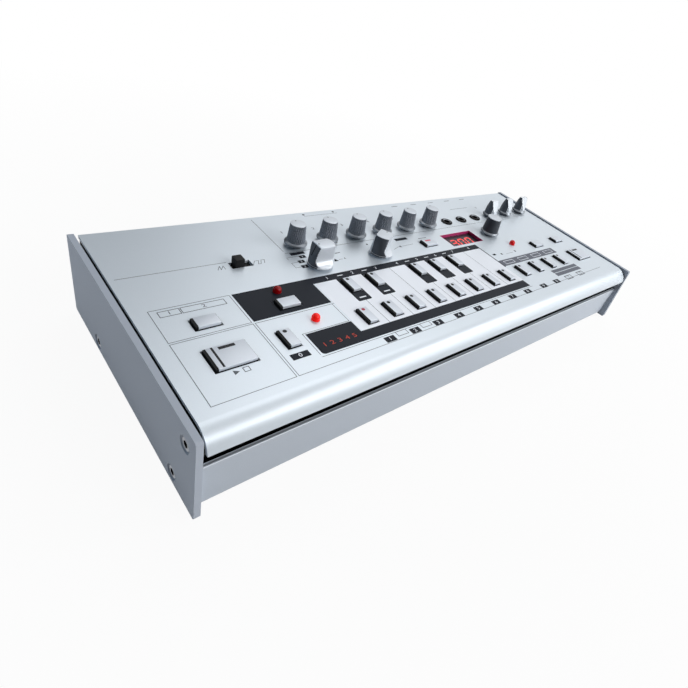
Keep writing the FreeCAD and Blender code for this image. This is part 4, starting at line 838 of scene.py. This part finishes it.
def make_value_knob(node):
    """A finely fluted taper on a wide collar, with a bright bevelled top."""
    maker, x, y, base, tall, skirt = start_knob(node, 3)
    collar = [(0.8, 0.3), (0.55, 0.42), (0.45, 0.6), (0.45, 1.1), (0.55, 1.3), (0.9, 1.6),
              (1.3, 1.9)]
    add_collar(maker, x, y, base, skirt, collar, 2)
    taper_low = 1.6
    taper_high = tall - 0.45
    flute_count = 48

    def radius_at(angle, height):
        part = (height - taper_low) / (tall - taper_low)
        flute = 0.03 * triangle_wave(angle / (2 * math.pi) * flute_count)
        return between(5.55, 4.78, part) - flute

    heights = [taper_low] + steps(2.0, taper_high, 12)
    add_radial(maker, x, y, base, heights, radius_at, 4 * flute_count, 1)
    head = radius_at(0.0, taper_high)
    top = [(head - 0.3, base + tall - 0.55), (head + 0.01, base + taper_high),
           (head - 0.03, base + tall - 0.25), (head - 0.15, base + tall - 0.07),
           (head - 0.36, base + tall)]
    add_turned(maker, x, y, top, ROUND_STEPS, 0)
    materials = [KNOB_TOP, KNOB_DARK, KNOB_COLLAR, MARK_DARK]
    piece(node + "_knob", maker, materials, node, node, sharp_angle=35)


# Display, jacks, lamps, slider and dock

# The bars that are lit in each digit that is shown.
SEGMENTS = {"0": "abcdef", "3": "abgcd"}
DISPLAY_TEXT = "300"


def segment_outline(name, wide, tall, thick):
    """Outline of one bar of a digit, about the digit's middle."""
    half = wide / 2
    gap = 0.12
    spots = {
        "a": (0, tall / 2, True), "g": (0, 0, True), "d": (0, -tall / 2, True),
        "f": (-half, tall / 4, False), "b": (half, tall / 4, False),
        "e": (-half, -tall / 4, False), "c": (half, -tall / 4, False),
    }
    x, y, level = spots[name]
    reach = (half if level else tall / 4) - gap
    side = thick / 2
    bar = [(-reach, 0), (-reach + side, -side), (reach - side, -side), (reach, 0),
           (reach - side, side), (-reach + side, side)]
    if not level:
        bar = [(-across, along) for along, across in bar]
    return [(x + dx, y + dy) for dx, dy in bar]


def make_display():
    """The window's face, its coloured edges and a row of slanted digits on it."""
    low, high = box_mm("display_window")
    rim = 1.8
    x0 = low.x + rim
    x1 = high.x - rim
    y0 = low.y + rim
    y1 = high.y - rim
    face = low.z + 1.0
    wall = 0.35
    maker = bmesh.new()
    add_box(maker, low, (high.x, high.y, face), 0)
    rims = [(low.x, low.y, x0, high.y), (x1, low.y, high.x, high.y), (x0, low.y, x1, y0),
            (x0, y1, x1, high.y)]
    walls = [(x0, y1 - wall, x1, y1), (x1 - wall, y0, x1, y1 - wall),
             (x0, y0, x0 + wall, y1 - wall), (x0 + wall, y0, x1 - wall, y0 + wall)]
    for boxes, box_top in ((rims, high.z - 0.01), (walls, PANEL_TOP - 0.05)):
        for left, front, right, rear in boxes:
            add_box(maker, (left, front, face), (right, rear, box_top), 1)
    piece("display_window_face", maker, [WINDOW, WINDOW_EDGE], MODULE, "display_window")
    wide = 4.3
    tall = 6.6
    thick = 1.15
    slant = 0.12
    first_x = x0 + 7.6
    digit_pitch = 7.0
    middle_y = (y0 + y1) / 2 - 1.4
    lit_maker = bmesh.new()
    unlit_maker = bmesh.new()
    for index, digit in enumerate(DISPLAY_TEXT):
        middle_x = first_x + index * digit_pitch
        for name in "abcdefg":
            on = name in SEGMENTS[digit]
            target = lit_maker if on else unlit_maker
            top = face + (0.03 if on else 0.02)
            points = segment_outline(name, wide, tall, thick)
            ring = [(middle_x + px + py * slant, middle_y + py) for px, py in points]
            add_rings(target, [[(px, py, z) for px, py in ring] for z in (face - 0.05, top)])
    piece("display_digits", lit_maker, [DIGIT_LIT], MODULE)
    piece("display_digits_off", unlit_maker, [DIGIT_UNLIT], MODULE)


def make_jack_rings():
    """Three black rings with a rounded lip and a metal throat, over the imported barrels."""
    low, high = box_mm("top_jacks")
    body_half = 4.0
    spacing = (high.x - low.x - 2 * body_half) / 2
    y = (low.y + high.y) / 2
    for index in range(3):
        maker = bmesh.new()
        x = low.x + body_half + spacing * index
        top = high.z + 0.25
        outer = [(3.95, PANEL_TOP), (3.98, PANEL_TOP + 0.3), (3.8, top - 0.15), (3.5, top),
                 (2.7, top)]
        inner = [(2.7, top), (2.5, top - 0.15), (2.1, top - 0.6), (1.85, top - 0.8),
                 (1.85, PANEL_TOP - 1.0)]
        for profile, material in ((outer, 0), (inner, 1)):
            rings = [circle_points(x, y, z, radius, 48) for radius, z in profile]
            add_rings(maker, rings, material, closed=False)
        bmesh.ops.remove_doubles(maker, verts=maker.verts, dist=0.001)
        ring = piece("jack_ring_%d" % (index + 1), maker, [GLOSS_BLACK, STEEL], MODULE)


# Where each lamp stands on the panel, and its finish.
LAMP_SPOTS = [(-92.2, -1.9, LAMP_LOW), (-87.1, -25.2, LAMP_HIGH), (83.1, -5.1, LAMP_MID)]


def make_lamps():
    """Domed red lamps, each on a short straight collar."""
    low, high = box_mm("indicator_lights")
    radius = high.x - LAMP_SPOTS[2][0]
    straight = high.z - radius
    for index, (x, y, finish) in enumerate(LAMP_SPOTS):
        maker = bmesh.new()
        profile = [(radius, low.z), (radius, straight)]
        for step in range(1, 9):
            angle = math.pi / 2 * step / 8.5
            profile.append((radius * math.cos(angle), straight + (radius - 0.02) * math.sin(angle)))
        add_turned(maker, x, y, profile, 40)
        lamp = piece("lamp_%d" % (index + 1), maker, [finish], MODULE)
        if index == 0:
            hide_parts("indicator_lights")


def make_tray_edge():
    """A rounded edge along the top of the dock's front wall, in bright metal as a painted
    highlight.
    """
    low, high = box_mm("dock_tray")
    front = -61.24  # the wall's outer face at its top
    top = 25.0
    radius = 0.6
    maker = bmesh.new()
    points = [(front + 0.8, top - 0.3), (front + 0.8, top + 0.03)]
    for step in range(7):
        angle = math.pi / 2 * (1 + step / 6)
        points.append((front + 0.55 + radius * math.cos(angle),
                       top - 0.57 + radius * math.sin(angle)))
    points.append((front + 0.3, top - 0.8))
    ends = [[(x, y, z) for y, z in points] for x in (low.x + 0.05, high.x - 0.05)]
    add_rings(maker, ends)
    piece("tray_edge", maker, [EDGE_PAINTED_HIGHLIGHT], DOCK, sharp_angle=50)


def make_slider():
    """A plain block with softened edges, on its plate under the panel."""
    low, high = box_mm("mode_slider")
    maker = bmesh.new()
    border = 4.5
    rounding = 0.25
    plate_top = low.z + 0.8
    add_box(maker, low, (high.x, high.y, plate_top), 0)
    block_low = (low.x + border, low.y + border, plate_top - 0.1)
    add_cap(maker, block_low, (high.x - border, high.y - border, high.z), rounding)
    for face in maker.faces:
        face.material_index = 0
    piece("mode_slider_cap", maker, [BLACK_PLASTIC], "mode_slider", "mode_slider")


# Where the screws stand in each end plate, front to back and up.
SCREW_SPOTS = [(-55.9, 33.0), (-45.4, 6.5), (32.6, 5.8)]


def add_screw(maker, face, side, y, z):
    """Add one countersunk screw whose head's face lies at x = face and looks along side."""
    def ring(radius, depth, count, turn=0.0):
        angles = [2 * math.pi * n / count + turn for n in range(count)]
        return [(face - side * depth, y + radius * math.cos(angle), z + radius * math.sin(angle))
                for angle in angles]

    profile = [(1.5, 8.0), (1.5, 1.6), (2.6, 0.55), (2.62, 0.12), (2.5, 0.03)]
    add_rings(maker, [ring(radius, depth, 24) for radius, depth in profile], 0)
    # A closed black hexagon in the head: painted shade in place of the socket.
    add_rings(maker, [ring(1.5, depth, 6, 0.3) for depth in (1.0, 0.0)], 1)


def make_plate_screws():
    """Countersunk screws, each with a black hexagon in its head that is the painted shade of its
    socket.
    """
    low, high = box_mm("plate_screws")
    maker = bmesh.new()
    for side, face in ((-1, low.x), (1, high.x)):
        for y, z in SCREW_SPOTS:
            add_screw(maker, face, side, y, z)
    piece("plate_screw_heads", maker, [STEEL, SOCKET_PAINTED_SHADE], DOCK, "plate_screws")


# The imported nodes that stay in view

def dress_nodes():
    """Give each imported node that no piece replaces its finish."""
    finishes = {
        "top_panel": SILVER, "lower_case": BLACK_PLASTIC, "cradle": BLACK_METAL,
        "battery_cover": BLACK_PLASTIC, "case_screws": BLACK_METAL, "panel_board": BOARD,
        "main_board": BOARD, "switch_bodies": BLACK_PLASTIC, "pot_bodies": STEEL,
        "display_module": BLACK_PLASTIC, "top_jacks": GLOSS_BLACK, "rear_sockets": BLACK_PLASTIC,
        # The right end plate gets the darker paint, as painted shade.
        "dock_tray": DOCK_SILVER, "left_end_plate": PLATE_SILVER, "right_end_plate": PLATE_PAINTED_SHADE,
        "rubber_feet": RUBBER, "prop_leg": DOCK_SILVER,
        "volume_knob": KNOB_DARK, "power_switch": BLACK_PLASTIC,
    }
    for node, finish in finishes.items():
        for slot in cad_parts[node].material_slots:
            slot.material = finish


# Floor, light and camera, with places in metres

def surround_mesh(name, maker, material):
    """Turn a bmesh in metres into an object that stands round the model."""
    mesh = bpy.data.meshes.new(name)
    maker.to_mesh(mesh)
    maker.free()
    mesh.materials.append(material)
    thing = bpy.data.objects.new(name, mesh)
    bpy.context.scene.collection.objects.link(thing)
    return thing


def seen_ray(tree):
    """Give a socket that is 1 for the camera's rays and for those that metal and glass send on."""
    path = tree.nodes.new("ShaderNodeLightPath")
    seen = path.outputs["Is Camera Ray"]
    for kind in ("Is Glossy Ray", "Is Transmission Ray"):
        larger = tree.nodes.new("ShaderNodeMath")
        larger.operation = "MAXIMUM"
        tree.links.new(seen, larger.inputs[0])
        tree.links.new(path.outputs[kind], larger.inputs[1])
        seen = larger.outputs["Value"]
    return seen


def mix_surface(tree, part, first, second, output):
    """Mix two shader nodes by a part from 0 to 1 and send the result to an output node."""
    mix = tree.nodes.new("ShaderNodeMixShader")
    for value, entry in zip((part, first.outputs[0], second.outputs[0]), mix.inputs):
        tree.links.new(value, entry)
    tree.links.new(mix.outputs["Shader"], tree.nodes[output].inputs["Surface"])


def make_floor():
    """A pale floor that looks white to the camera and keeps part of the object's shadow."""
    far = 6.0
    drop = 0.0002
    maker = bmesh.new()
    maker.faces.new([maker.verts.new((x, y, -drop)) for x, y in rectangle(-far, -far, far, far)])
    material, tree, shader = shaded("floor_white", (0.8, 0.8, 0.8, 1.0), roughness=0.9)
    link = tree.links.new
    place = tree.nodes.new("ShaderNodeTexCoord")
    reach = tree.nodes.new("ShaderNodeVectorMath")
    reach.operation = "LENGTH"
    link(place.outputs["Object"], reach.inputs[0])
    fade = map_range(tree, reach.outputs["Value"], 0.15, 0.45, 0.94, 1.0)
    share = tree.nodes.new("ShaderNodeMath")
    share.operation = "MULTIPLY"
    link(seen_ray(tree), share.inputs[0])
    link(fade, share.inputs[1])
    glow = tree.nodes.new("ShaderNodeEmission")
    glow.inputs["Strength"].default_value = 1.0
    mix_surface(tree, share.outputs["Value"], shader, glow, "Material Output")
    floor = surround_mesh("floor", maker, material)


def make_world():
    """A white surround for the camera and reflections, and soft light from the right and above."""
    world = bpy.data.worlds.new("surround")
    bpy.context.scene.world = world
    world.use_nodes = True
    tree = world.node_tree
    link = tree.links.new
    soft = tree.nodes["Background"]
    soft.inputs["Color"].default_value = (0.9, 0.94, 1.0, 1.0)
    place = tree.nodes.new("ShaderNodeTexCoord")
    side = tree.nodes.new("ShaderNodeVectorMath")
    side.operation = "DOT_PRODUCT"
    side.inputs[1].default_value = (0.78, -0.2, 0.6)
    link(place.outputs["Generated"], side.inputs[0])
    level = map_range(tree, side.outputs["Value"], -0.5, 0.9, 0.0, 0.06)
    link(level, soft.inputs["Strength"])
    white = tree.nodes.new("ShaderNodeBackground")
    white.inputs["Color"].default_value = (1.0, 1.0, 1.0, 1.0)
    mix_surface(tree, seen_ray(tree), soft, white, "World Output")


def make_flags():
    """Tall black sheets behind, left of and before the object, which darken what faces them."""
    maker = bmesh.new()
    tall = 0.9
    spots = [(0.3, 1.0), (-0.75, 1.0), (-0.75, -0.95), (0.0, -0.95)]
    low = [maker.verts.new((x, y, 0.0)) for x, y in spots]
    high = [maker.verts.new((x, y, tall)) for x, y in spots]
    for index in range(len(spots) - 1):
        maker.faces.new((low[index], low[index + 1], high[index + 1], high[index]))
    black = shaded("flag_black", (0.01, 0.01, 0.01, 1.0), roughness=0.95)[0]
    flags = surround_mesh("flags", maker, black)
    flags.visible_camera = False


LIGHT_AIM = (0.02, 0, 0.02)


def add_lamp(name, place, size, power, colour=(1, 1, 1)):
    """Add a square soft light that is turned to the middle of the object."""
    data = bpy.data.lights.new(name, "AREA")
    data.shape = "SQUARE"
    data.size = size
    data.energy = power
    data.color = colour
    lamp = bpy.data.objects.new(name, data)
    lamp.location = place
    lamp.rotation_euler = (Vector(LIGHT_AIM) - Vector(place)).to_track_quat("-Z", "Y").to_euler()
    bpy.context.scene.collection.objects.link(lamp)


def make_lights():
    """Three lamps at the right front, a large one over the rear right, a weak one at the left."""
    add_lamp("key_light", (0.5, -0.35, 0.45), 0.3, 1.8)
    add_lamp("front_light", (0.3, -0.95, 0.65), 0.5, 4.1)
    add_lamp("low_light", (0.7, -0.95, 0.3), 0.6, 2.2)
    add_lamp("top_light", (0.5, 0.48, 1.12), 0.8, 5.7)
    add_lamp("left_light", (-0.6, 0.4, 0.3), 0.3, 0.7, (0.62, 0.8, 1.0))


# The camera stands left of the front, close, rolled clockwise. Angles in radians.
CAMERA_PLACE = (-0.19708, -0.15817, 0.17150)
CAMERA_TURN = -0.9425
CAMERA_DOWN = 0.5796
CAMERA_ROLL = 0.3366
FOCAL_PIXELS = 494.17
VIEW_PIXELS = 688
CENTRE_PIXEL = (423.99, 313.26)
SENSOR = 36.0


def make_camera():
    """Place the camera that was matched to the photograph."""
    data = bpy.data.cameras.new("camera")
    data.sensor_width = SENSOR
    data.lens = FOCAL_PIXELS / VIEW_PIXELS * SENSOR
    data.shift_x = (VIEW_PIXELS / 2 - CENTRE_PIXEL[0]) / VIEW_PIXELS
    data.shift_y = (CENTRE_PIXEL[1] - VIEW_PIXELS / 2) / VIEW_PIXELS
    data.clip_start = 0.01
    camera = bpy.data.objects.new("camera", data)
    forward = Vector((-math.sin(CAMERA_TURN) * math.cos(CAMERA_DOWN),
                      math.cos(CAMERA_TURN) * math.cos(CAMERA_DOWN), -math.sin(CAMERA_DOWN)))
    level = forward.cross(Vector((0, 0, 1))).normalized()
    upright = level.cross(forward)
    right = math.cos(CAMERA_ROLL) * level + math.sin(CAMERA_ROLL) * upright
    up = math.cos(CAMERA_ROLL) * upright - math.sin(CAMERA_ROLL) * level
    turn = Matrix((right, up, -forward)).transposed()
    camera.matrix_world = Matrix.Translation(CAMERA_PLACE) @ turn.to_4x4()
    bpy.context.scene.collection.objects.link(camera)
    bpy.context.scene.camera = camera


make_camera()
dress_nodes()
for name in KEYS + SMALL_BUTTONS + LARGE_BUTTONS:
    make_button(name)
for name in DIALS:
    make_dial(name)
make_selector("left_selector", 0.0)
make_selector("right_selector", RIGHT_SELECTOR_TURN, shallow=True)
for name in EFFECT_KNOBS:
    make_effect_knob(name)
make_value_knob("value_knob")
make_display()
make_jack_rings()
make_lamps()
make_slider()
make_plate_screws()
make_tray_edge()
print_left_side()
print_keyboard()
print_right_side()
print_knob_marks()
finish_prints()
make_floor()
make_flags()
make_world()
make_lights()

bpy.context.scene.view_settings.view_transform = "Standard"
